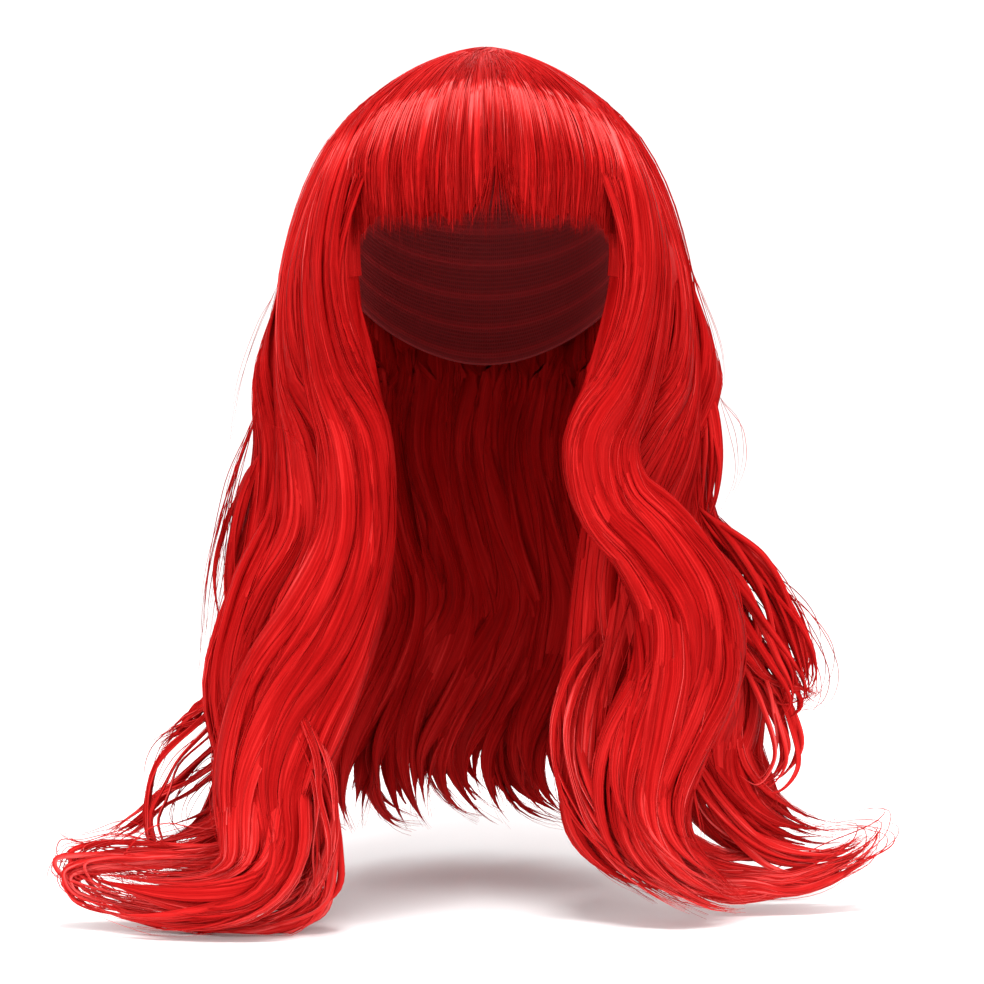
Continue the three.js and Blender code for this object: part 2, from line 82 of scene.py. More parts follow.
# Rows of each lock: down, out, ahead, wide, thick as shares of the sizes above, then the azimuth and
# elevation that its broad side looks to
LOCKS = {
    "right_face_lock": (-1, 1, [
        [0.35, 0.355, 0.52, 0.72, 0.8, 42, 0], [0.44, 0.31, 0.56, 0.68, 0.8, 25, 0],
        [0.54, 0.31, 0.6, 0.7, 0.8, 12, 0], [0.64, 0.375, 0.64, 0.82, 0.8, 6, 0],
        [0.74, 0.48, 0.66, 0.92, 0.76, 5, 0], [0.84, 0.53, 0.7, 0.84, 0.8, 5, 5],
        [0.92, 0.52, 0.74, 0.72, 0.8, 5, 20], [0.965, 0.64, 0.74, 0.66, 0.68, 5, 50],
        [0.962, 0.84, 0.67, 0.56, 0.56, 5, 50], [0.93, 1.01, 0.6, 0.14, 0.14, 5, 50]]),
    "right_side_lock": (-1, 2, [
        [0.36, 0.45, 0.14, 0.8, 0.85, 72, 0], [0.45, 0.425, 0.24, 0.84, 0.85, 48, 0],
        [0.54, 0.43, 0.3, 0.86, 0.85, 25, 0], [0.63, 0.51, 0.36, 0.88, 0.85, 12, 0],
        [0.73, 0.56, 0.39, 0.9, 0.85, 10, 0], [0.83, 0.5, 0.43, 0.86, 0.85, 10, 0],
        [0.91, 0.46, 0.46, 0.76, 0.8, 10, 10], [0.96, 0.58, 0.46, 0.66, 0.66, 10, 40],
        [0.96, 0.78, 0.42, 0.5, 0.5, 10, 50], [0.945, 0.95, 0.38, 0.1, 0.1, 10, 50]]),
    "right_outer_lock": (-1, 3, [
        [0.36, 0.505, -0.2, 0.88, 0.85, 98, 0], [0.46, 0.52, -0.16, 0.9, 0.8, 88, 0],
        [0.56, 0.55, -0.1, 0.9, 0.8, 80, 0], [0.66, 0.59, -0.04, 0.92, 0.8, 72, 0],
        [0.75, 0.6, 0.02, 0.92, 0.8, 60, 0], [0.84, 0.57, 0.08, 0.84, 0.78, 40, 5],
        [0.92, 0.64, 0.12, 0.72, 0.65, 20, 25], [0.945, 0.82, 0.15, 0.48, 0.48, 10, 40],
        [0.93, 0.98, 0.18, 0.12, 0.12, 10, 40]]),
    "left_face_lock": (1, 1, [
        [0.36, 0.335, 0.53, 0.72, 0.8, 40, 0], [0.44, 0.28, 0.56, 0.66, 0.8, 22, 0],
        [0.5, 0.31, 0.57, 0.66, 0.8, 12, 0], [0.55, 0.4, 0.58, 0.74, 0.8, 6, 0],
        [0.62, 0.485, 0.59, 0.86, 0.8, 5, 0], [0.69, 0.485, 0.58, 0.92, 0.78, 5, 0],
        [0.77, 0.42, 0.56, 0.86, 0.8, 5, 0], [0.85, 0.375, 0.56, 0.8, 0.8, 5, 0],
        [0.92, 0.43, 0.54, 0.7, 0.7, 5, 10], [0.965, 0.55, 0.48, 0.5, 0.5, 5, 35],
        [0.985, 0.64, 0.42, 0.1, 0.1, 5, 50]]),
    "left_side_lock": (1, 2, [
        [0.36, 0.46, 0.14, 0.84, 0.85, 72, 0], [0.44, 0.43, 0.2, 0.86, 0.85, 45, 0],
        [0.52, 0.37, 0.26, 0.94, 0.85, 25, 0], [0.61, 0.35, 0.28, 0.96, 0.85, 12, 0],
        [0.7, 0.33, 0.3, 0.94, 0.85, 10, 0], [0.78, 0.3, 0.32, 0.88, 0.85, 10, 0],
        [0.86, 0.28, 0.32, 0.78, 0.8, 8, 0], [0.92, 0.33, 0.3, 0.7, 0.74, 8, 15],
        [0.96, 0.46, 0.28, 0.56, 0.56, 8, 40], [0.97, 0.62, 0.26, 0.1, 0.1, 8, 50]]),
    "left_outer_lock": (1, 3, [
        [0.36, 0.515, -0.2, 0.88, 0.85, 98, 0], [0.45, 0.505, -0.18, 0.86, 0.78, 88, 0],
        [0.53, 0.515, -0.12, 0.86, 0.76, 80, 0], [0.6, 0.565, -0.07, 0.92, 0.8, 72, 0],
        [0.68, 0.585, -0.03, 0.96, 0.8, 60, 0], [0.75, 0.6, -0.01, 0.96, 0.8, 45, 0],
        [0.83, 0.58, -0.01, 0.94, 0.78, 28, 0], [0.9, 0.66, -0.02, 0.76, 0.66, 18, 8],
        [0.935, 0.81, -0.04, 0.54, 0.48, 12, 35], [0.915, 0.985, -0.06, 0.12, 0.12, 10, 40]]),
}

# The route that the locks behind the shoulders share: down, spread, sway, wide, thick, tilt
BACK_ROUTE = [
    [0.37, 0.97, 0.0, 0.86, 0.8, 0], [0.46, 0.93, 0.08, 0.86, 0.84, 0],
    [0.56, 0.91, -0.06, 0.86, 0.84, 0], [0.66, 0.93, -0.24, 0.87, 0.84, 0],
    [0.76, 0.97, -0.06, 0.87, 0.8, 0], [0.85, 1.0, 0.24, 0.84, 0.76, 0],
    [0.92, 1.06, 0.14, 0.66, 0.6, 15], [0.965, 1.22, -0.2, 0.12, 0.12, 35]]
BACK_LOCKS = ["left_shoulder_lock", "left_back_lock", "middle_back_lock", "right_back_lock",
              "right_shoulder_lock"]

STRAYS = {
    "right_wisp": (-1, [
        [0.69, 0.47, 0.66, 0.9, 0.7, 10, 0], [0.74, 0.45, 0.74, 1, 0.7, 5, 0],
        [0.8, 0.4, 0.78, 1, 0.7, 0, 0], [0.86, 0.37, 0.78, 1, 0.7, 0, 0],
        [0.92, 0.38, 0.78, 0.8, 0.7, 0, 0], [0.965, 0.42, 0.8, 0.2, 0.2, 0, 0]]),
    "right_flick": (-1, [
        [0.71, 0.6, 0.12, 1, 0.8, 20, 20], [0.75, 0.67, 0.13, 1, 0.8, 10, 40],
        [0.78, 0.74, 0.14, 0.8, 0.6, 5, 50], [0.805, 0.81, 0.15, 0.2, 0.2, 5, 50]]),
    "right_loop": (-1, [
        [0.74, 0.6, 0.2, 1, 0.8, 20, 20], [0.78, 0.69, 0.24, 1, 0.8, 10, 30],
        [0.825, 0.78, 0.28, 1, 0.8, 5, 10], [0.88, 0.82, 0.32, 1, 0.8, 5, 0],
        [0.925, 0.8, 0.36, 0.9, 0.8, 5, 0], [0.955, 0.76, 0.42, 0.2, 0.2, 5, 0]]),
    "right_drop": (-1, [
        [0.79, 0.59, 0.1, 1.2, 0.8, 20, 20], [0.83, 0.69, 0.1, 1.2, 0.8, 10, 40],
        [0.87, 0.79, 0.1, 1.1, 0.8, 5, 50], [0.905, 0.89, 0.1, 0.9, 0.6, 5, 50],
        [0.925, 0.97, 0.1, 0.2, 0.2, 5, 50]]),
    "left_wisp": (1, [
        [0.66, 0.29, 0.42, 0.9, 0.7, 5, 0], [0.71, 0.22, 0.48, 1, 0.7, 0, 0],
        [0.77, 0.19, 0.5, 1, 0.7, 0, 0], [0.84, 0.21, 0.52, 1, 0.7, 0, 0],
        [0.905, 0.3, 0.54, 1, 0.7, 0, 20], [0.955, 0.45, 0.62, 0.9, 0.7, 0, 50],
        [0.98, 0.6, 0.62, 0.2, 0.2, 0, 50]]),
    "left_flick": (1, [
        [0.65, 0.59, 0.1, 1.6, 1, 20, 10], [0.7, 0.67, 0.1, 1.6, 1, 10, 30],
        [0.735, 0.75, 0.1, 1.3, 0.9, 5, 60], [0.745, 0.83, 0.1, 0.2, 0.2, 5, 70]]),
    "left_loop": (1, [
        [0.54, 0.57, -0.04, 0.9, 0.7, 20, 10], [0.59, 0.67, -0.04, 0.9, 0.7, 10, 20],
        [0.645, 0.76, -0.02, 0.8, 0.7, 5, 10], [0.7, 0.81, 0.02, 0.7, 0.6, 5, 0],
        [0.735, 0.79, 0.07, 0.2, 0.2, 5, 0]]),
    "left_curl": (1, [
        [0.86, 0.36, 0.28, 1.6, 1.2, 5, 0], [0.92, 0.45, 0.26, 2.2, 1.6, 5, 15],
        [0.957, 0.58, 0.24, 2.4, 1.6, 5, 45], [0.962, 0.7, 0.22, 2.4, 1.6, 5, 60],
        [0.955, 0.82, 0.2, 2.1, 1.4, 5, 60], [0.935, 0.93, 0.15, 1.4, 1, 5, 60],
        [0.905, 0.985, 0.08, 0.3, 0.3, 5, 60]]),
}

# Loose hairs outside the locks, and flat bundles where the radius is over BUNDLE_RADIUS: the lock
# they leave, how many, their spread, radius and route in mm
RO, RF = "right_outer_lock", "right_face_lock"
LO, LF, LS = "left_outer_lock", "left_face_lock", "left_side_lock"
LOOSE = [
    (RO, 3, 1.5, 0.16, [
     [-104, 0, -108], [-112, 0, -126], [-122, 0, -160], [-128, 0, -196]]),
    (RO, 4, 2, 0.15, [
     [-114, 0, -172], [-126, 0, -205], [-130, 0, -236], [-127, 0, -262]]),
    (RO, 9, 4, 0.32, [
     [-118, -4, -312], [-140, -4, -323], [-160, -4, -338], [-168, -4, -356],
     [-166, -4, -382]]),
    (RO, 8, 2.5, 0.28, [
     [-122, -2, -306], [-137, -2, -315], [-153, -2, -329], [-169, -2, -337]]),
    (RO, 8, 4, 0.3, [
     [-130, -8, -345], [-146, -8, -352], [-155, -8, -370], [-146, -8, -388]]),
    (RO, 14, 3, 0.26, [
     [-112, -10, -165], [-126, -10, -210], [-136, -8, -255], [-142, -6, -305]]),
    (RF, 12, 4, 0.28, [
     [-160, -55, -384], [-182, -56, -380], [-202, -57, -378], [-206, -58, -388],
     [-190, -60, -397], [-170, -62, -400]]),
    (RF, 12, 6, 0.34, [
     [-124, -50, -370], [-158, -55, -379], [-186, -58, -382], [-198, -60, -391],
     [-188, -62, -402], [-160, -64, -408], [-126, -66, -411]]),
    (RF, 6, 3, 0.24, [
     [-150, -58, -378], [-176, -58, -371], [-196, -58, -374], [-207, -58, -369]]),
    (LO, 3, 1.5, 0.15, [
     [100, 4, -92], [108, 4, -111], [117, 4, -141], [119, 4, -168]]),
    (LO, 4, 2, 0.15, [
     [116, 0, -160], [125, 0, -181], [126, 0, -201], [117, 0, -222]]),
    (LO, 14, 5, 0.32, [
     [112, -4, -222], [126, -4, -238], [143, -4, -257], [158, -4, -284],
     [160, -4, -308]]),
    (LO, 10, 5, 0.3, [
     [114, -2, -238], [130, -2, -250], [152, -2, -268], [166, -2, -295],
     [162, -2, -314], [148, -2, -318]]),
    (LO, 14, 4, 0.34, [
     [116, -2, -258], [132, -2, -276], [149, -2, -294], [158, -2, -309],
     [168, -2, -315]]),
    (LO, 7, 3, 0.26, [
     [118, 0, -330], [136, 0, -345], [146, 0, -364], [138, 0, -380]]),
    (LO, 14, 4, 0.36, [
     [118, -24, -403], [150, -26, -400], [176, -28, -391], [192, -30, -380],
     [194, -30, -373], [182, -30, -371], [160, -28, -376]]),
    (LF, 3, 1.5, 0.16, [
     [70, -62, -222], [66, -62, -245], [62, -60, -268], [66, -58, -290]]),
    (RF, 20, 5, 1.8, [
     [-71, -66, -348], [-74, -68, -381], [-81, -68, -402], [-102, -68, -412],
     [-135, -66, -414], [-168, -64, -410], [-190, -62, -402], [-200, -60, -392]]),
    (RF, 24, 5, 0.3, [
     [-80, -66, -360], [-84, -70, -396], [-104, -72, -409], [-140, -70, -411],
     [-176, -66, -405], [-204, -60, -398]]),
    (RF, 24, 5, 0.3, [
     [-92, -60, -358], [-122, -62, -379], [-160, -64, -384], [-190, -64, -384],
     [-208, -62, -392]]),
    (RF, 22, 4.5, 1.5, [
     [-88, -56, -354], [-122, -58, -379], [-160, -60, -383], [-184, -60, -384],
     [-197, -60, -388], [-194, -60, -397], [-178, -62, -403], [-146, -62, -407],
     [-112, -62, -409]]),
    (RO, 8, 3, 2.2, [
     [-112, -6, -190], [-122, -6, -215], [-128, -6, -240], [-129, -6, -265],
     [-125, -6, -295]]),
    (LS, 10, 4, 2.4, [
     [43, -46, -316], [50, -50, -354], [74, -54, -388], [103, -54, -404],
     [124, -52, -410]]),
    (LO, 8, 3, 2.2, [
     [104, 0, -140], [112, -2, -165], [115, -4, -190], [113, -6, -212],
     [108, -8, -230]]),
    (LO, 14, 5, 1.9, [
     [105, -8, -215], [124, -14, -238], [141, -14, -260], [153, -14, -285],
     [158, -14, -308], [152, -14, -318]]),
    (LO, 10, 4, 1.8, [
     [112, -8, -262], [130, -12, -288], [144, -14, -315], [150, -14, -338],
     [140, -14, -352], [128, -14, -348]]),
    (LO, 14, 4, 2.0, [
     [101, -20, -333], [113, -22, -361], [136, -24, -382], [165, -26, -388],
     [188, -26, -383]]),
    (LO, 10, 5, 2.4, [
     [107, -8, -230], [125, -14, -260], [138, -14, -285], [149, -14, -309],
     [142, -14, -324]]),
    (RF, 3, 2, 0.16, [
     [-104, -62, -172], [-92, -64, -180], [-84, -64, -192], [-90, -64, -208]]),
]


# ---- curves and the head ----
def lerp(a, b, t):
    return a + (b - a) * t


def smooth(x, low, high):
    t = np.clip((x - low) / (high - low), 0, 1)
    return t * t * (3 - 2 * t)


def unit(v):
    return v / np.maximum(np.linalg.norm(v, axis=-1, keepdims=True), 1e-9)


def through(rows, at):
    """A smooth curve through rows of numbers, at positions counted in rows."""
    rows, at = np.asarray(rows, float), np.clip(at, 0, len(rows) - 1)
    i = np.minimum(at.astype(int), len(rows) - 2)
    a, b, c, d = (rows[np.clip(i + k, 0, len(rows) - 1)] for k in (-1, 0, 1, 2))
    t = (at - i)[..., None]
    return b + 0.5 * t * (c - a + t * (2 * a - 5 * b + 4 * c - d + t * (3 * (b - c) + d - a)))


def route(points, at):
    """Points and directions of a centripetal curve through points, at positions counted in points."""
    p = np.vstack([2 * points[0] - points[1], points, 2 * points[-1] - points[-2]])
    gap = np.sqrt(np.linalg.norm(np.diff(p, axis=0), axis=1))
    i = np.minimum(at.astype(int), len(points) - 2)
    t = (at - i)[:, None]
    a, b, c, d = p[i], p[i + 1], p[i + 2], p[i + 3]
    e, f, g = gap[i][:, None], gap[i + 1][:, None], gap[i + 2][:, None]
    m = ((b - a) / e - (c - a) / (e + f) + (c - b) / f) * f
    n = ((c - b) / f - (d - b) / (f + g) + (d - c) / g) * f
    c2, c3 = -3 * b + 3 * c - 2 * m - n, 2 * b - 2 * c + m + n
    return b + t * (m + t * (c2 + t * c3)), unit(m + t * (2 * c2 + 3 * t * c3))


def head_point(azimuth, polar, lift):
    turn, lean = np.radians(azimuth), np.radians(polar)
    depth = np.where(np.cos(turn) > 0, HEAD_FORE, HEAD_AFT)
    radii = np.stack(np.broadcast_arrays(HEAD_WIDTH / 2, depth, HEAD_CROWN), -1).astype(float)
    n = np.stack([np.sin(lean) * np.sin(turn), -np.sin(lean) * np.cos(turn),
                  np.cos(lean) + 0 * turn], -1)
    out = unit(n / radii)
    return n * radii - [0, 0, HEAD_CROWN] + out * np.asarray(lift, float)[..., None], out


def hair_lift(azimuth, polar):
    azimuth, polar = np.broadcast_arrays(np.asarray(azimuth, float), np.asarray(polar, float))
    at = np.interp(polar, LIFT[:, 0], np.arange(len(LIFT)))
    row = through(LIFT, at)
    c = np.cos(np.radians(azimuth))
    return HAIR_LIFT * lerp(row[..., 2], np.where(c > 0, row[..., 1], row[..., 3]), c * c)


def edge_at(azimuth, front, back):
    return lerp(front, back, (1 - np.cos(np.radians(azimuth))) / 2)


def crown_edge(azimuth):
    return edge_at(azimuth, 2 * CROWN_SIDE_EDGE - CROWN_BACK_EDGE, CROWN_BACK_EDGE)


def crown_lift(azimuth, polar):
    edge = crown_edge(azimuth)
    fade = smooth(polar, 0, 60) * (1 - smooth(polar, edge - 18, edge))
    ridges = RIDGE_DEPTH * np.cos(np.radians(azimuth * CROWN_RIDGES)) * fade
    return hair_lift(azimuth, polar) * (1 + ridges)


# ---- meshes ----
class Pile:
    """The surfaces of one piece: grids of points, whose faces are all quads."""

    def __init__(self):
        self.sheets = []

    def sheet(self, points, flow, tint, share, aspect, closed):
        """points is (item, row, column, 3) in mm, flow the streaks' map in mm with one column more
        where closed, tint (item, row, column), share the part of the bake's map, aspect its shape."""
        points = points.copy()
        points[..., 2] = np.maximum(points[..., 2], FLOOR + FLOOR_GAP)
        tint = np.broadcast_to(tint, points.shape[:3])
        self.sheets.append((points, flow, tint, share, aspect, closed))

    def tubes(self, path, wide, thick, tint, side, up, down, start, girth, sides, share):
        """Tubes round paths (strand, point, 3), wide along side and thick along up, in mm. down is the
        length from the root, start where the streaks' map begins and girth its width round them."""
        turn = np.radians(90) + 2 * np.pi * np.arange(sides) / sides
        shape = 1 + (0.05 * np.cos(5 * turn + start[..., None]) if sides > 3 else 0)
        ring = (path[:, :, None]
                + (wide[..., None] * np.cos(turn) * shape)[..., None] * side[:, :, None]
                + (thick[..., None] * np.sin(turn) * shape)[..., None] * up[:, :, None])
        around = girth[..., None] * np.arange(sides + 1) / sides
        flow = np.stack(np.broadcast_arrays(start[..., None] + around, down[..., None]), -1)
        tint = tint[..., None]
        # Painted shade: the side of each flat bundle that faces in is darker
        if sides > 3:
            tint = tint - 0.1 * (np.sin(turn) < -0.2)
        self.sheet(ring, flow, tint, share, 60 if sides == 3 else 12, True)

    def body(self, grid, flow, tint, closed=False, share=0.3):
        tint = np.broadcast_to(tint, grid.shape[:2])
        self.sheet(grid[None], flow[None], tint[None], share, 1.5, closed)

    def piece(self, name, material, *nodes, slot="hair"):
        points, tints, quads, maps, flows = [], [], [], [], []
        count, low = 0, 0.0
        total = sum(s[3] for s in self.sheets)
        for place, flow, tint, share, aspect, closed in self.sheets:
            n, rows, columns, _ = place.shape
            at = count + np.arange(n * rows * columns).reshape(n, rows, columns)
            count += at.size
            points.append(place.reshape(-1, 3))
            tints.append(tint.ravel())
            if closed:
                at = np.concatenate([at, at[..., :1]], -1)
                middle = place.mean(2, keepdims=True)
            else:
                middle = np.array([0, 0, -HEAD_CROWN])
            whole = np.concatenate([place, place[:, :, :1]], 2) if closed else place
            corner = whole[:, :-1, :-1]
            cross = np.cross(whole[:, :-1, 1:] - corner, whole[:, 1:, :-1] - corner)
            inward = (cross * (place - middle)[:, :-1, : cross.shape[2]]).sum() < 0
            high = share / total
            across = max(1, round(math.sqrt(n / (high * aspect))))
            per = math.ceil(n / across)
            k = np.arange(n)
            u = ((k // per)[:, None] + np.linspace(0.01, 0.99, rows)) / across
            v = low + high * ((k % per)[:, None] + np.linspace(0.12, 0.88, at.shape[2])) / per
            bake = np.stack(np.broadcast_arrays(u[:, :, None], v[:, None]), -1)
            low += high
            corners = [(slice(None, -1), slice(None, -1)), (slice(None, -1), slice(1, None)),
                       (slice(1, None), slice(1, None)), (slice(1, None), slice(None, -1))]
            if inward:
                corners = [corners[i] for i in (0, 3, 2, 1)]
            for grid, out in ((at, quads), (bake, maps), (flow, flows)):
                faces = np.stack([grid[(slice(None), *c)] for c in corners], 3)
                out.append(faces.reshape(-1, *grid.shape[3:]))
        quads = np.concatenate([q.reshape(-1) for q in quads])
        mesh = bpy.data.meshes.new(name)
        mesh.vertices.add(count)
        mesh.vertices.foreach_set("co", (np.concatenate(points) / 1000).astype(np.float32).ravel())
        mesh.loops.add(len(quads))
        mesh.loops.foreach_set("vertex_index", quads.astype(np.int32))
        mesh.polygons.add(len(quads) // 4)
        mesh.polygons.foreach_set("loop_start", np.arange(0, len(quads), 4, dtype=np.int32))
        mesh.update(calc_edges=True)
        mesh.shade_smooth()
        for label, uv in (("OFBake", maps), ("flow", flows)):
            layer = mesh.uv_layers.new(name=label)
            layer.data.foreach_set("uv", np.concatenate(uv).astype(np.float32).ravel())
        mesh.attributes.new("tint", "FLOAT", "POINT").data.foreach_set(
            "value", np.concatenate(tints).astype(np.float32))
        mesh.materials.append(material)
        made = bpy.data.objects.new(name, mesh)
        bpy.context.scene.collection.objects.link(made)
        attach(made, "root")
        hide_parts(*nodes)
        print(name, len(quads) // 2, "triangles")


# ---- materials ----
# Linear colours by tone, from darkest to lightest, of the hair and of the cap's net; the hair's
# lightest, pinkish stop is set for the painted highlight over the forehead
HAIR_RAMP = [
    (0.0, (0.17, 0.0014, 0.0016)), (0.3, (0.29, 0.0028, 0.003)), (0.5, (0.385, 0.006, 0.006)),
    (0.75, (0.56, 0.017, 0.016)), (1.0, (0.82, 0.105, 0.1))]
NET_RAMP = [(0.0, (0.1, 0.003, 0.004)), (0.5, (0.24, 0.008, 0.01)), (1.0, (0.42, 0.014, 0.017))]
FINE_STREAKS, BROAD_STREAKS = (1.3, 0.012, 1), (0.28, 0.008, 1)  # streaks to a mm, across and along
NET_PITCH, WEFT_PITCH = 1.6, 12  # mm from thread to thread, and from weft to weft


def new_material(name):
    material = bpy.data.materials.new(name)
    material.use_nodes = True
    tree = material.node_tree
    shader = next(n for n in tree.nodes if n.type == "BSDF_PRINCIPLED")

    def add(kind, inputs=None, **settings):
        node = tree.nodes.new(kind)
        for key, value in settings.items():
            setattr(node, key, value)
        for key, value in (inputs or {}).items():
            if isinstance(value, bpy.types.NodeSocket):
                tree.links.new(value, node.inputs[key])
            else:
                node.inputs[key].default_value = value
        return node

    def math_node(operation, a, b=0.0):
        return add("ShaderNodeMath", {0: a, 1: b}, operation=operation).outputs[0]

    def into(socket, value):
        tree.links.new(value, shader.inputs[socket])

    return material, shader, add, math_node, into


def ramp(add, value, stops):
    node = add("ShaderNodeValToRGB", {"Fac": value})
    elements = node.color_ramp.elements
    while len(elements) < len(stops):
        elements.new(0.5)
    for element, (at, colour) in zip(elements, stops):
        element.position, element.color = at, (*colour, 1)
    return node.outputs["Color"]


def fibre_material():
    material, shader, add, do, into = new_material("hair_fibre")
    flow = add("ShaderNodeUVMap", uv_map="flow").outputs[0]
    fine = add("ShaderNodeMapping", {"Vector": flow, "Scale": FINE_STREAKS}).outputs[0]
    broad = add("ShaderNodeMapping", {"Vector": flow, "Scale": BROAD_STREAKS}).outputs[0]
    streak = add("ShaderNodeTexNoise", {
        "Vector": fine, "Scale": 1.0, "Detail": 4.0, "Roughness": 0.66}).outputs[0]
    band = add("ShaderNodeTexNoise", {"Vector": broad, "Scale": 1.0, "Detail": 1.0}).outputs[0]
    place = add("ShaderNodeTexCoord").outputs["Object"]
    patch = add("ShaderNodeTexNoise", {"Vector": place, "Scale": 26.0, "Detail": 2.0}).outputs[0]
    tint = add("ShaderNodeAttribute", attribute_name="tint").outputs["Fac"]
    value = do("ADD", tint, do("MULTIPLY", do("SUBTRACT", streak, 0.5), 1.5))
    value = do("ADD", value, do("MULTIPLY", do("SUBTRACT", band, 0.5), 0.5))
    value = do("ADD", value, do("MULTIPLY", do("SUBTRACT", patch, 0.5), 0.3))
    into("Base Color", ramp(add, value, HAIR_RAMP))
    rough = add("ShaderNodeMapRange", {"Value": streak, "To Min": 0.42, "To Max": 0.6}).outputs[0]
    into("Roughness", rough)
    bump = add("ShaderNodeBump", {"Strength": 0.4, "Distance": 0.0003, "Height": streak})
    into("Normal", bump.outputs[0])
    shader.inputs["Specular IOR Level"].default_value = 0.03
    shader.inputs["Specular Tint"].default_value = (1.0, 0.6, 0.55, 1)
    return material


def net_material():
    material, _, add, do, into = new_material("cap_net")
    flow = add("ShaderNodeUVMap", uv_map="flow").outputs[0]
    axes = add("ShaderNodeSeparateXYZ", {0: flow})
    threads = []
    for axis in (0, 1):
        wave = do("SINE", do("MULTIPLY", axes.outputs[axis], 2 * math.pi / NET_PITCH))
        threads.append(do("MULTIPLY", do("ADD", wave, 1.0), 0.5))
    weave = do("MAXIMUM", *threads)
    wave = do("SINE", do("MULTIPLY", axes.outputs[1], 2 * math.pi / WEFT_PITCH))
    weft = do("POWER", do("MULTIPLY", do("ADD", wave, 1.0), 0.5), 6.0)
    noise = add("ShaderNodeTexNoise", {"Vector": flow, "Scale": 0.8, "Detail": 3.0}).outputs[0]
    value = do("ADD", do("MULTIPLY", weave, 0.5), do("MULTIPLY", weft, 0.35))
    value = do("ADD", value, do("MULTIPLY", noise, 0.25))
    into("Base Color", ramp(add, value, NET_RAMP))
    rough = add("ShaderNodeMapRange", {"Value": noise, "To Min": 0.7, "To Max": 0.95}).outputs[0]
    into("Roughness", rough)
    bump = add("ShaderNodeBump", {"Strength": 0.6, "Distance": 0.0006, "Height": value})
    into("Normal", bump.outputs[0])
    return material


# ---- locks ----
def root_of(slot):
    """The place where a lock leaves the crown hair, for u from side to side and v from inside out."""
    middle = math.copysign(1, slot) * (FRINGE_HALF_ANGLE + SLOT_ANGLE * (abs(slot) - 0.5))

    def at(u, v):
        azimuth = middle + (SLOT_ANGLE / 2 - SEAM) * u
        polar = crown_edge(azimuth) + SEAM
        lift = lerp(HAIR_BASE, hair_lift(azimuth, polar), (v + 1) / 2)
        return azimuth, head_point(azimuth, polar, lift)[0]
    return at


def root_middle(root):
    u = np.linspace(-1, 1, 6)
    return np.concatenate([root(u, 1)[1], root(u, -1)[1]]).mean(0)


def lock_frame(rows, root):
    """Centres, directions and sizes along a lock. rows: place x, y, z, wide, thick, face, tilt in mm."""
    rows = np.asarray(rows, float)
    if root is not None:
        rows = np.vstack([np.append(root_middle(root), rows[0, 3:]), rows])
    position = np.linspace(0, len(rows) - 1, LOCK_STEPS)
    centre, along = route(rows[:, :3], position)
    wide, thick, face, tilt = through(rows[:, 3:], position).T
    face, tilt = np.radians(face), np.radians(tilt)
    out = np.stack([np.sin(face) * np.cos(tilt), -np.cos(face) * np.cos(tilt), np.sin(tilt)], -1)
    out = unit(out - (out * along).sum(-1, keepdims=True) * along)
    across = np.cross(out, along)
    blend = smooth(position, 0, LOCK_BLEND) if root is not None else np.ones(LOCK_STEPS)
    table = np.column_stack([centre, along, out, across, wide / 2, thick / 2, blend])
    return table, rows[0, :3]


def pick(table, share):
    at = np.clip(share, 0, 1) * (len(table) - 1)
    i = np.minimum(at.astype(int), len(table) - 2)
    return lerp(table[i], table[i + 1], (at - i)[..., None])


def along_lock(table, start, root, u, v, share, p, q):
    """Points and outward directions at shares of the lock, for places (p, q) in its section."""
    row = pick(table, share)
    centre, out, across = row[..., 0:3], row[..., 6:9], row[..., 9:12]
    point = centre + across * (row[..., 12] * p)[..., None] + out * (row[..., 13] * q)[..., None]
    away = unit(across * (p / np.maximum(row[..., 12], 1))[..., None]
                + out * (q / np.maximum(row[..., 13], 1))[..., None] + 1e-6 * out)
    if root is not None:
        azimuth, place = root(u, v)
        point = lerp(place[:, None] - start + centre, point, row[..., 14:15])
        upright = head_point(azimuth, crown_edge(azimuth), 0 * azimuth)[1]
        away = unit(lerp(upright[:, None], away, row[..., 14:15]))
    return point, away


def ease(rows, lead, reach=6, times=5):
    """Smooths the rows of points near point number lead."""
    near = np.clip(1 - abs(np.arange(rows.shape[1]) - lead) / reach, 0, 1)[1:-1, None]
    for _ in range(times):
        rows[:, 1:-1] += near * ((rows[:, :-2] + rows[:, 2:]) / 2 - rows[:, 1:-1])
    return rows


def bend_at(azimuth):
    """Degrees from the crown to where the hair bends over the forehead."""
    return 42 + 0.0045 * azimuth ** 2


def sheen(azimuth, polar, jitter=0.0):
    """Painted highlight and shade: a paler tone on the bend of the hair over the forehead, and a darker
    tone below it.
    """
    azimuth = (azimuth + 180) % 360 - 180
    edge = bend_at(azimuth) + jitter
    painted_highlight = smooth(polar, edge, edge + 2) * (1 - smooth(polar, edge + 4, edge + 19))
    painted_shade = smooth(polar, edge + 12, edge + 26)
    return (0.44 * painted_highlight - 0.08 * painted_shade) * (1 - smooth(abs(azimuth), 45, 85))


def shade(place):
    """Painted light and shade by height: a deeper tone beside the neck and a paler one where the hair
    lies on the table.
    """
    down = -place[..., 2]
    return 0.15 * smooth(down, 330, 400) - 0.1 * smooth(down, 90, 170) * (1 - smooth(down, 260, 330))


def split(path, wide, thick, tint, away, lead, rng):
    """Tubes parted at point number lead, with directions and streaks that run on over the parting."""
    along = unit(np.gradient(path, axis=1))
    side = unit(np.cross(along, away))
    up = np.cross(side, along)
    down = np.concatenate([np.zeros((len(path), 1)), np.cumsum(
        np.linalg.norm(np.diff(path, axis=1), axis=-1), 1)], 1)
    down = down + rng.uniform(0, 300, (len(path), 1))
    start = rng.uniform(0, 300, (len(path), 1))
    girth = 2 * (wide.max(1) + thick.max(1))[:, None]
    cuts = [slice(0, lead + 1), slice(lead, None)] if lead else [slice(None)]
    rows = (path, wide, thick, tint, side, up, down)
    return [(*(row[:, c] for row in rows), start, girth) for c in cuts]


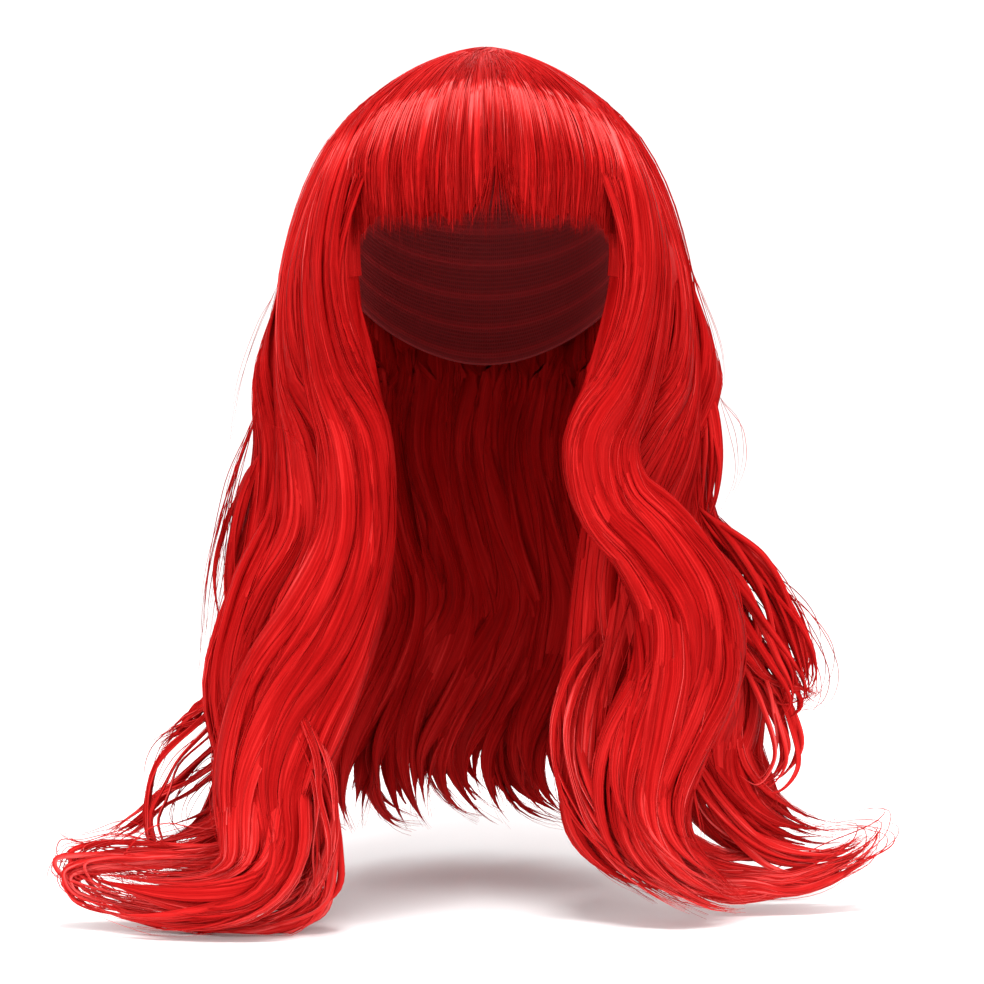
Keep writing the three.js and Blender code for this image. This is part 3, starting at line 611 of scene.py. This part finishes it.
class Lock:
    """One falling lock: a smooth core, flat bundles of hair round it, and single hairs on them. The
    bundles on its outside start near the whorl, over the crown."""

    def __init__(self, name, rows, root, seed, twist, outside=19, inside=7, hairs=4, edge=0,
                 fat=1.0, points=50):
        self.name, self.root = name, root
        self.rng = rng = np.random.default_rng(seed)
        self.table, self.start = lock_frame(rows, root)
        j = outside + inside
        u = np.concatenate([np.linspace(-0.96, 0.96, outside), np.linspace(-0.9, 0.9, inside)])
        u = u + rng.normal(0, 0.04, j)
        v = np.concatenate([rng.uniform(0.72, 0.95, outside), rng.uniform(-0.9, -0.6, inside)])
        if edge:
            u = np.concatenate([np.full(HEM_BUNDLES, 0.99 * edge), u])
            v = np.concatenate([np.linspace(0.3, 0.92, HEM_BUNDLES), v])
            outside, j = outside + HEM_BUNDLES, j + HEM_BUNDLES
        self.u, self.v, self.outside = u, v, outside
        t = np.linspace(0, 1, points)
        end = rng.uniform(0.84, 1.0, j)
        share = end[:, None] * t
        grip = smooth(share, 0.15, 0.6)
        angle = np.arctan2(v * np.cos(np.pi / 2 * u), np.sin(np.pi / 2 * u))[:, None]
        angle = angle + np.radians(twist + rng.normal(0, 22, j))[:, None] * smooth(share, 0.1, 1)
        sway = rng.uniform(0, CYCLE, (2, j, 1))
        speed = rng.uniform(1.2, 2.6, (2, j, 1))
        angle = angle + 0.22 * grip * np.sin(CYCLE * speed[0] * share + sway[0])
        reach = 0.84 + 0.1 * grip * np.sin(CYCLE * speed[1] * share + sway[1])
        p, q = reach * np.cos(angle), reach * np.sin(angle)
        path, away = along_lock(self.table, self.start, root, u, v, share, p, q)
        drift = rng.normal(0, 1, (2, j, 1, 3))
        for k, cycles in enumerate((1.7, 3.4)):
            swing = (2.4, 1.0)[k] * fat * smooth(share, 0.15, 0.7) * np.sin(
                CYCLE * (cycles * share + rng.uniform(0, 1, (j, 1))))
            path = path + swing[..., None] * drift[k]
        path = ease(path, 0.85 * points, 0.3 * points, 4)
        row = pick(self.table, share)
        size = row[..., 12] * rng.uniform(0.16, 0.32, j)[:, None]
        if edge:
            size[:HEM_BUNDLES] *= 0.6
        swell = 1 + 0.22 * np.sin(CYCLE * (2.1 * share + rng.uniform(0, 1, (j, 1))))
        taper = (1 - smooth(t, rng.uniform(0.58, 0.82, j)[:, None], 1.0)) ** 0.9
        if root is None:
            taper = taper * smooth(t, -0.02, 0.2)
        else:
            taper[outside:] *= smooth(share[outside:], -0.01, 0.1)
        self.wide = size * swell * np.maximum(taper, 0.02)
        self.spread = size * swell * np.maximum(taper, 0.3)
        self.flat = rng.uniform(0.22, 0.36, j)[:, None]
        self.path, self.away, self.share = path, away, share
        # Painted light: strays with no root get a paler tone than the locks
        self.tone = np.clip((0.5 if root else 0.6) + rng.normal(0, 0.055, j), 0.25, 0.8)
        # Painted shade: the bundles on a lock's inside get a darker tone
        self.tone[outside:] -= 0.08
        self.hairs = hairs

    def over_crown(self):
        """The outside bundles' way from the whorl to the lock's root, with the painted highlight and
        shade of their tone over the forehead.
        """
        k, rng = self.outside, self.rng
        azimuth, _ = self.root(self.u[:k], self.v[:k])
        t = np.linspace(0, 1, OVER_CROWN_POINTS)
        edge = crown_edge(azimuth) + SEAM
        polar = lerp((8 + 34 * rng.uniform(0, 1, k) ** 1.4)[:, None], edge[:, None], t)
        turn = azimuth[:, None] + rng.normal(0, 4, k)[:, None] * (1 - t) ** 2
        hem = abs(self.u[:k]) > 0.985
        bow = np.where(hem, rng.uniform(3, 10, k), 0)[:, None] * np.sin(np.pi * t) ** 1.5
        turn = turn - np.sign(azimuth)[:, None] * bow
        full = (self.v[:k, None] + 1) / 2
        full = np.where(hem[:, None], lerp(0.97, full, smooth(t, 0.7, 1)), full)
        height = lerp(np.minimum(full, 0.8), full, smooth(t, 0, 0.35))
        path, away = head_point(turn, polar, lerp(HAIR_BASE, crown_lift(turn, polar), height))
        path[:, -1] = self.path[:k, 0]
        wide = self.wide[:k, :1] * np.sin(np.radians(polar)) * smooth(t, 0, 0.5)
        wide[:, -1] = self.wide[:k, 0]
        return path, away, wide, sheen(turn, polar, rng.normal(0, 1.5, (k, 1)))

    def make(self, pile, crown):
        k, rng, j = self.outside, self.rng, len(self.u)
        flat = self.flat
        if self.root is not None:
            over, over_away, over_wide, painted_light = self.over_crown()
            lead = over.shape[1] - 1
            # The painted highlight and shade run on a little way into the lock
            painted_light = np.concatenate([painted_light, painted_light[:, -1:] * (1 - smooth(self.share[:k, 1:], 0, 0.2))], 1)
            full = ease(np.concatenate([over[:, :-1], self.path[:k]], 1), lead)
            away = unit(ease(np.concatenate([over_away[:, :-1], self.away[:k]], 1), lead))
            near = np.clip(1 - abs(np.arange(full.shape[1]) - lead) / 5, 0, 1)[:, None]
            full = full + 1.6 * near * away
            wide = np.concatenate([over_wide[:, :-1], self.wide[:k]], 1)
            spread = np.concatenate([over_wide[:, :-1], self.spread[:k]], 1)
            groups = [(full, away, wide, spread, painted_light, np.arange(k), lead),
                      (self.path[k:], self.away[k:], self.wide[k:], self.spread[k:], 0 * self.share[k:],
                       np.arange(k, j), 0)]
        else:
            groups = [(self.path, self.away, self.wide, self.spread, 0 * self.share, np.arange(j), 0)]
        bundles, hairs = [], []
        for full, away, wide, spread, painted_light, ids, lead in groups:
            rise = lerp(0.5, 1.0, smooth(np.arange(full.shape[1]) - lead, -4, 8)) if lead else 1.0
            thick = wide * flat[ids] * rise + 0.05
            # Painted light and shade: the bend over the forehead, and the tone by height
            painted_light = painted_light + shade(full)
            tone = self.tone[ids, None] + painted_light
            bundles.append((full, wide, thick, tone, away, lead))
            many = np.repeat(np.arange(len(ids)), self.hairs if ids[0] < k else INSIDE_HAIRS)
            n = len(many)
            along = unit(np.gradient(full, axis=1))
            side = unit(np.cross(along, away))
            up = np.cross(side, along)
            s = np.linspace(0, 1, full.shape[1])
            turn = (rng.uniform(0.05, 0.95, n) * np.pi)[:, None] + 0.6 * np.sin(
                CYCLE * (rng.uniform(0.6, 1.6, n)[:, None] * s + rng.uniform(0, 1, (n, 1))))
            loose = rng.uniform(0, 1, n) < 0.12
            reach = np.where(loose, rng.uniform(1.15, 1.9, n), rng.uniform(0.9, 1.1, n))[:, None]
            reach = lerp(1.0, reach, smooth(s, 0.1, 0.5))
            w, h = spread[many] * reach, (spread * flat[ids])[many] * reach + 0.25
            point = (full[many] + (w * np.cos(turn))[..., None] * side[many]
                     + (h * np.sin(turn))[..., None] * up[many])
            fray = rng.normal(0, 1, (n, 1, 3)) * (3.0 * smooth(s, 0.82, 1.0) ** 1.5)[None, :, None]
            point = point + fray * (0.4 + 0.6 * np.minimum(spread[many][:, :1, None] / 6, 1))
            radius = np.where(loose, 0.16, rng.uniform(0.18, 0.34, n))[:, None] * (
                smooth(s, -0.02, 0.12) * (1 - 0.75 * smooth(s, 0.75, 1.0)))
            tint = self.tone[ids][many][:, None] + rng.normal(0, 0.09, n)[:, None] + 0.04 + painted_light[many]
            hairs.append((point, radius, radius, tint, up[many], lead))
        for kind, made in (("bundle", bundles), ("hair", hairs)):
            for path, wide, thick, tint, away, lead in made:
                share = 0.4 if kind == "bundle" else 0.3
                parts = split(path, wide, thick, tint, away, lead, rng)
                pile.tubes(*parts[-1], SIDES[kind], share)
                if lead:
                    crown[kind].append(parts[0])

    def core(self, pile):
        """The smooth body under the bundles."""
        size, end, steps, around = 0.9, 0.9, 64, 44
        share = np.linspace(0, end, steps)[:, None] + np.zeros(around)
        i = np.arange(around + 1)
        turn = np.pi - 2 * np.pi * (i[:-1] + 0.5) / around
        u = 1 - 2 * np.arccos(np.cos(turn)) / np.pi
        v = np.sign(np.sin(turn)) * 0.9
        ripple = 1 - 0.06 * np.sin(5 * turn + 5 * share) - 0.03 * np.sin(11 * turn - 7 * share)
        thin = (1 - 0.97 * smooth(share, 0.55, end)) * ripple
        p, q = size * np.cos(turn) * thin, size * np.sin(turn) * thin
        place, _ = along_lock(self.table, self.start, None, u, v, share, p, q)
        row = pick(self.table, share)
        middle = 0.0
        if self.root is not None:
            azimuth, at = self.root(u, v)
            place = lerp(at[None] - self.start + row[..., 0:3], place, row[..., 14:15])
            middle = azimuth.mean()
        down = np.concatenate([[0], np.cumsum(np.linalg.norm(np.diff(row[:, 0, :3], axis=0), axis=-1))])
        around_flow = ACROSS * (middle + SLOT_ANGLE / 2 * (4 * i / around - 1))
        flow = np.stack(np.broadcast_arrays(around_flow[None], down[:, None]), -1)
        # The core's tone takes the painted light and shade by height
        pile.body(place, flow, CORE_TONE + shade(place), closed=True)


def loose_hairs(pile, points, many, spread, radius, seed):
    """Single hairs along a route, or flat bundles where the radius is over BUNDLE_RADIUS."""
    rng = np.random.default_rng(seed)
    kind = "bundle" if radius > BUNDLE_RADIUS else "hair"
    t = np.linspace(0, 1, 36 if kind == "bundle" else 26)
    share = rng.uniform(0.82, 1, (many, 1)) * t
    path = route(points, (share * (len(points) - 1)).ravel())[0].reshape(many, len(t), 3)
    away = rng.normal(0, 1, (many, 1, 3))
    if kind == "bundle":
        away = 0.35 * away + [0, -1, 0.5]
    apart = smooth(t, 0, 0.35) * (1 - 0.4 * smooth(t, 0.6, 1))
    across = rng.normal(0, spread, (2, many, 1, 3)) * [1, 0.6, 1]
    path = path + across[0] * apart[:, None] + 0.5 * across[1] * np.sin(2 * np.pi * t)[:, None]
    end = 0.97 if kind == "bundle" else 0.7
    wide = rng.uniform(0.6, 1.2, (many, 1)) * radius
    wide = wide * smooth(t, -0.05, 0.15) * (1 - end * smooth(t, 0.45, 1))
    thick = wide * (0.35 if kind == "bundle" else 1) + 0.02
    # Painted light: a paler tone for the thin loose hairs, with the painted light and shade by height
    tint = np.clip(rng.normal(0.58, 0.06, (many, 1)), 0.35, 0.8) + shade(path)
    pile.tubes(*split(path, wide, thick, tint, unit(away) + 0 * path, 0, rng)[0], SIDES[kind], 0.06)


# ---- the wig ----
hair = fibre_material()
net = net_material()


def front_rows(side, rows, wide, thick):
    rows = np.asarray(rows, float)
    return np.column_stack([side * rows[:, 1] * WIG_HALF_SPREAD, -rows[:, 2] * WIG_HALF_DEPTH,
                            -rows[:, 0] * WIG_DROP, rows[:, 3] * wide, rows[:, 4] * thick,
                            side * rows[:, 5], rows[:, 6]])


def back_rows(root):
    start = root_middle(root)
    flat = np.array([start[0], start[1], 0])
    sideways = unit(np.array([-start[1], start[0], 0.0]))
    made = []
    for down, spread, sway, wide, thick, tilt in BACK_ROUTE:
        place = flat * spread + sideways * sway * LOCK_WIDTH
        made.append([place[0], place[1], -down * WIG_DROP, wide * LOCK_WIDTH, thick * LOCK_THICKNESS,
                     math.degrees(math.atan2(start[0], -start[1])), tilt])
    return np.array(made)


over = {"bundle": [], "hair": []}
locks = []
for i, (name, (side, slot, rows)) in enumerate(LOCKS.items()):
    locks.append(Lock(name, front_rows(side, rows, LOCK_WIDTH, LOCK_THICKNESS), root_of(side * slot),
                      11 + i, twist=side * -45, edge=-side if slot == 1 else 0))
for i, name in enumerate(BACK_LOCKS):
    root = root_of(i + 4)
    locks.append(Lock(name, back_rows(root), root, 31 + i, outside=14, inside=10, twist=20, points=36))
for lock in locks:
    pile = Pile()
    lock.core(pile)
    lock.make(pile, over)
    for i, (owner, many, spread, radius, points) in enumerate(LOOSE):
        if owner == lock.name:
            loose_hairs(pile, np.array(points, float), many, spread, radius, 70 + i)
    pile.piece(lock.name + "_hair", hair, lock.name)

for i, (name, (side, rows)) in enumerate(STRAYS.items()):
    pile = Pile()
    big = name == "left_curl"
    stray = Lock(name, front_rows(side, rows, STRAY_WIDTH, STRAY_WIDTH), None, 51 + i,
                 outside=8 if big else 4, inside=3 if big else 1, hairs=8, twist=60, fat=0.6, points=26)
    stray.make(pile, over)
    pile.piece(name + "_hair", hair, name)


def fringe_end(azimuth, gap, half):
    """The angle where the fringe ends, raised at the gap and longer at its corners."""
    lobes = np.cos(np.radians(azimuth * 180 * FRINGE_LOCKS / FRINGE_HALF_ANGLE))
    open_ = np.maximum(0, 1 - abs(azimuth - FRINGE_GAP_AT) / half) ** 1.3
    corner = smooth(abs(azimuth), FRINGE_HALF_ANGLE - 10, FRINGE_HALF_ANGLE) ** 1.5
    return FRINGE_END - 0.5 + 0.7 * lobes - gap * open_ + 6 * corner


def fringe_lift(azimuth, polar):
    low = smooth(polar, FRINGE_END - 20, FRINGE_END)
    return lerp(hair_lift(azimuth, polar), HAIR_BASE + FRINGE_TIP, low)


def outer_lift(azimuth, polar):
    return lerp(HAIR_BASE, crown_lift(azimuth, np.minimum(polar, crown_edge(azimuth))), SHEET_HEIGHT)


def inner_lift(azimuth, polar):
    return HAIR_BASE + 0 * azimuth


def dome(azimuths, tops, ends, lift, rows, tone=OUTER_TONE):
    """A sheet over the head between two edges, its streaks' map and its tone with the painted highlight
    and shade over the forehead.
    """
    t = np.linspace(0, 1, rows)[:, None]
    polar = lerp(tops + 0 * azimuths, ends, t)
    turn = azimuths + 0 * polar
    flow = np.stack([ACROSS * turn, (polar - crown_edge(turn)) * DOWNWARD], -1)
    return head_point(turn, polar, lift(turn, polar))[0], flow, tone + sheen(turn, polar)


crown = Pile()
azimuths = np.linspace(FRINGE_HALF_ANGLE, 360 - FRINGE_HALF_ANGLE, 161)
crown.body(*dome(azimuths, CROWN_TOP, crown_edge(azimuths) + 2.5, outer_lift, 46), share=0.2)
crown.body(*dome(azimuths, CROWN_TOP, crown_edge(azimuths) + 2, inner_lift, 24, INNER_SHADE_TONE), share=0.06)
front = np.linspace(-FRINGE_HALF_ANGLE, FRINGE_HALF_ANGLE, 61)
crown.body(*dome(front, CROWN_TOP, FRINGE_TOP + SEAM + 0 * front, outer_lift, 10), share=0.05)
# Its side walls at the face opening
for azimuth in (FRINGE_HALF_ANGLE, 360 - FRINGE_HALF_ANGLE):
    polar = np.linspace(FRINGE_TOP, crown_edge(azimuth) + 4, 30)[:, None]
    t = np.linspace(0, 1, 6)
    turn = azimuth + 0 * polar * t
    full = crown_lift(turn, np.minimum(polar, crown_edge(azimuth)) + 0 * t)
    lift = lerp(HAIR_BASE, full, SHEET_HEIGHT * t)
    place, _ = head_point(turn, polar + 0 * t, lift)
    flow = np.stack([ACROSS * azimuth + lift, (polar + 0 * t) * DOWNWARD], -1)
    crown.body(place, flow, INNER_SHADE_TONE + 0 * turn, share=0.02)

rng = np.random.default_rng(7)
fringe = Pile()
azimuths = np.linspace(-FRINGE_HALF_ANGLE + SEAM, FRINGE_HALF_ANGLE - SEAM, 121)
ends = fringe_end(azimuths, 13, 10) - 3.6 + rng.normal(0, 0.7, 121)
fringe.body(*dome(azimuths, FRINGE_TOP + SEAM, ends, lambda a, p: lerp(
    HAIR_BASE, fringe_lift(a, p), 0.93 - 0.12 * smooth(p, 64, 79)), 34), share=0.3)
fringe.body(*dome(azimuths, FRINGE_TOP + SEAM, ends, inner_lift, 20, INNER_SHADE_TONE), share=0.1)


def fringe_tubes(start, depth, length, wide, thick, tone, kind, fan=0.0):
    """Bundles or single hairs of the fringe from near the whorl, parted into the crown's and its own."""
    n = len(start)
    lead, m = 7, 26
    s = np.arange(m)
    top = FRINGE_TOP + SEAM
    begin = 4 + 12 * rng.uniform(0, 1, n)
    polar = np.where(s < lead, lerp(begin[:, None], top, s / lead),
                     lerp(top, length[:, None], (s - lead) / (m - 1 - lead)))
    push = np.maximum(0, 1 - abs(start - FRINGE_GAP_AT) / 8) * np.sign(start - FRINGE_GAP_AT)
    low = smooth(polar, 50, 86)
    turn = (start[:, None] + push[:, None] * 1.4 * smooth(polar, 64, 84)
            + fan * (start - FRINGE_GAP_AT)[:, None] * smooth(polar, 66, 88) ** 1.5
            + low * rng.normal(0, 0.7, n)[:, None]
            + 0.5 * np.sin(CYCLE * (polar / 60 + rng.uniform(0, 1, (n, 1)))) * low
            + rng.normal(0, 2.5, n)[:, None] * (1 - smooth(polar, 4, 45)))
    turn = np.clip(turn, -FRINGE_HALF_ANGLE + 0.3, FRINGE_HALF_ANGLE - 0.3)
    surface = np.where(polar < top, crown_lift(turn, polar), fringe_lift(turn, polar))
    lift = lerp(HAIR_BASE, surface, lerp(0.75, depth[:, None], smooth(s, 0, 5)))
    jitter = rng.normal(0, 2.0, (n, 1))
    bend = bend_at(turn) + jitter
    lift = lift + 1.3 * smooth(polar, bend - 3, bend + 3) * (1 - smooth(polar, bend + 6, bend + 24))
    path, away = head_point(turn, polar, lift)
    t = (polar - begin[:, None]) / (length - begin)[:, None]
    shape = np.sin(np.radians(polar)) ** (0.7 if kind == "bundle" else 0.0) * smooth(t, -0.01, 0.15)
    shape = shape * np.maximum(1 - smooth(t, 0.8, 1.0) ** 1.2, 0.03)
    wide, thick = wide[:, None] * shape, thick[:, None] * shape + 0.03
    # Painted highlight and shade of the bend over the forehead in the tone
    tint = tone[:, None] + sheen(turn, polar, jitter)
    above, below = split(path, wide, thick, tint, away, lead, rng)
    fringe.tubes(*below, SIDES[kind], 0.35)
    over[kind].append(above)


n = 150  # flat bundles
start = np.linspace(-FRINGE_HALF_ANGLE + 1.2, FRINGE_HALF_ANGLE - 1.2, n) + rng.normal(0, 0.5, n)
fringe_tubes(start, rng.uniform(0.8, 0.95, n), fringe_end(start, 13, 11) + rng.normal(-0.2, 0.8, n),
             rng.uniform(1.1, 2.6, n), rng.uniform(0.3, 0.6, n),
             np.clip(rng.normal(0.5, 0.03, n), 0.3, 0.7), "bundle")
n = 64  # sparse strands that fan out in the gap
start = FRINGE_GAP_AT + rng.normal(0, 2.6, n)
fringe_tubes(start, rng.uniform(0.7, 1.0, n), FRINGE_END + rng.normal(0.0, 1.8, n),
             rng.uniform(0.22, 0.42, n), rng.uniform(0.22, 0.42, n),
             np.clip(rng.normal(0.5, 0.08, n), 0.2, 0.85), "hair", 1.6)
n = 900  # single hairs
start = rng.uniform(-FRINGE_HALF_ANGLE, FRINGE_HALF_ANGLE, n)
fringe_tubes(start, rng.uniform(0.8, 1.03, n), fringe_end(start, 11, 10) + rng.normal(0.3, 1.1, n),
             rng.uniform(0.14, 0.26, n), rng.uniform(0.14, 0.26, n),
             np.clip(rng.normal(0.52, 0.08, n), 0.2, 0.85), "hair")
fringe.piece("fringe_hair", hair, "fringe")


def whorl(n, wide, kind):
    """Hair that leaves the whorl on a slight spiral and ends over the crown."""
    t = np.linspace(0, 1, WHORL_POINTS)
    start = np.linspace(-180, 180, n, endpoint=False)[:, None] + rng.normal(0, 2, (n, 1))
    short, long = rng.uniform(14, 19, (n, 1)), rng.uniform(26, 62, (n, 1))
    length = np.where(abs(start) < FRINGE_HALF_ANGLE + 4, short, long)
    polar = lerp(rng.uniform(0.4, 3, (n, 1)), length, t)
    turn = start + 26 * (1 - smooth(polar, 0, 20)) + rng.normal(0, 1.5, (n, 1)) * t
    height = rng.uniform(0.93, 1.01, (n, 1))
    path, away = head_point(turn, polar, lerp(HAIR_BASE, crown_lift(turn, polar), height))
    shape = 1
    if kind == "bundle":
        shape = np.sin(np.radians(polar)) * (1 - smooth(t, 0.6, 1)) * smooth(t, -0.2, 0.1)
    wide = wide * rng.uniform(0.7, 1.3, (n, 1)) * shape + 0.02 + 0 * t
    thick = np.minimum(wide, 0.12 * wide + 0.15)
    # Painted highlight and shade of the bend over the forehead in the tone
    tint = np.clip(rng.normal(0.5, 0.07, (n, 1)), 0.3, 0.75) + sheen(turn, polar)
    crown.tubes(*split(path, wide, thick, tint, away, 0, rng)[0], SIDES[kind], 0.1)


whorl(80, 4.6, "bundle")
whorl(220, 0.22, "hair")
# The strands that lie over the crown, joined by their number of points
for kind in over:
    groups = {}
    for group in over[kind]:
        groups.setdefault(group[0].shape[1], []).append(group)
    for same in groups.values():
        crown.tubes(*(np.concatenate(part) for part in zip(*same)), SIDES[kind], 0.22)
crown.piece("crown_hair_strands", hair, "crown_hair")

# The cap: one sheet that runs down its outside, round its edge and up its inside
cap = Pile()
azimuths = np.linspace(0, 360, 121)
rim = edge_at(azimuths, CAP_FRONT_EDGE, CAP_NAPE_EDGE)
around = np.linspace(0, np.pi, 7)[1:-1, None]
outer = lerp(CAP_TOP, rim, np.linspace(0, 1, CAP_ROWS)[:, None])
polar = np.concatenate([outer, rim + 0.7 * np.sin(around), outer[::-1]])
rolled = (CAP_WALL / 2 * (1 + np.cos(around)))[:, 0]
lift = np.concatenate([[CAP_WALL] * CAP_ROWS, rolled, [0] * CAP_ROWS])[:, None]
place = head_point(azimuths + 0 * polar, polar, lift + 0 * polar)[0]
down = np.concatenate([[0], np.cumsum(np.linalg.norm(np.diff(place, axis=0), axis=-1).mean(1))])
cap.body(place, np.stack(np.broadcast_arrays(ACROSS * azimuths[None], down[:, None]), -1), 0.5)
cap.piece("cap_net", net, "cap", slot="cap")


# ---- stage, light and camera ----
def sweep():
    """A pale floor that turns up into a backdrop."""
    profile = [(-6.0, 0.0), (1.6, 0.0)] + [
        (1.6 + 1.0 * math.sin(a), 1.0 - 1.0 * math.cos(a)) for a in np.linspace(0.1, math.pi / 2, 12)
    ] + [(2.6, 5.0)]
    verts = [(x, y, z + FLOOR / 1000) for x in (-6, 6) for y, z in profile]
    k = len(profile)
    faces = [(i, i + k, i + k + 1, i + 1) for i in range(k - 1)]
    mesh = bpy.data.meshes.new("studio_floor")
    mesh.from_pydata(verts, [], faces)
    mesh.shade_smooth()
    made = bpy.data.objects.new("studio_floor", mesh)
    bpy.context.scene.collection.objects.link(made)
    material, shader, *_ = new_material("floor_paper")
    shader.inputs["Base Color"].default_value = (0.93, 0.93, 0.93, 1)
    shader.inputs["Roughness"].default_value = 0.7
    mesh.materials.append(material)
    made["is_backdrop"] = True


def softbox(name, place, aim, size, watts):
    """An area light: its place, aim and size in metres."""
    light = bpy.data.lights.new(name, "AREA")
    light.shape, light.size, light.size_y = "RECTANGLE", size[0], size[1]
    light.energy = watts
    made = bpy.data.objects.new(name, light)
    made.location = place
    made.rotation_mode = "QUATERNION"
    made.rotation_quaternion = (Vector(aim) - Vector(place)).to_track_quat("-Z", "Y")
    made.visible_camera = False
    bpy.context.scene.collection.objects.link(made)


sweep()
softbox("key", (0.0, -0.45, 1.2), (0, -0.06, -0.05), (0.6, 0.25), 22)
softbox("left", (-1.5, -1.2, 0.1), (0, 0, -0.25), (1.0, 1.4), 3.6)
softbox("right", (1.5, -1.2, 0.1), (0, 0, -0.25), (1.0, 1.4), 3.6)
softbox("left_low", (-0.75, -0.7, -0.3), (-0.12, 0, -0.38), (0.3, 0.15), 2.8)
softbox("right_low", (0.75, -0.7, -0.3), (0.12, 0, -0.38), (0.3, 0.15), 2.8)
softbox("back", (0.3, 1.3, 1.1), (0, 0, -0.2), (1.2, 0.8), 8)
world = bpy.data.worlds.new("studio")
world.use_nodes = True
world.node_tree.nodes["Background"].inputs[0].default_value = (1, 1, 1, 1)
world.node_tree.nodes["Background"].inputs[1].default_value = 0.97
bpy.context.scene.world = world

# The photograph's viewing angle: the eye and what it looks at in metres, and the lens in mm
EYE, AIM, LENS = (0.0035, -1.3957, -0.0997), (0.0035, 0, -0.2095), 102.44
camera = bpy.data.cameras.new("camera")
camera.lens, camera.sensor_width = LENS, 36
camera.clip_start, camera.clip_end = 0.05, 50
eye = bpy.data.objects.new("camera", camera)
eye.location = EYE
eye.rotation_mode = "QUATERNION"
eye.rotation_quaternion = (Vector(AIM) - eye.location).to_track_quat("-Z", "Y")
bpy.context.scene.collection.objects.link(eye)
bpy.context.scene.camera = eye
bpy.context.scene.view_settings.view_transform = "Standard"

total = sum(len(p.vertices) - 2 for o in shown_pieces() for p in o.data.polygons)
print("total", total, "triangles")
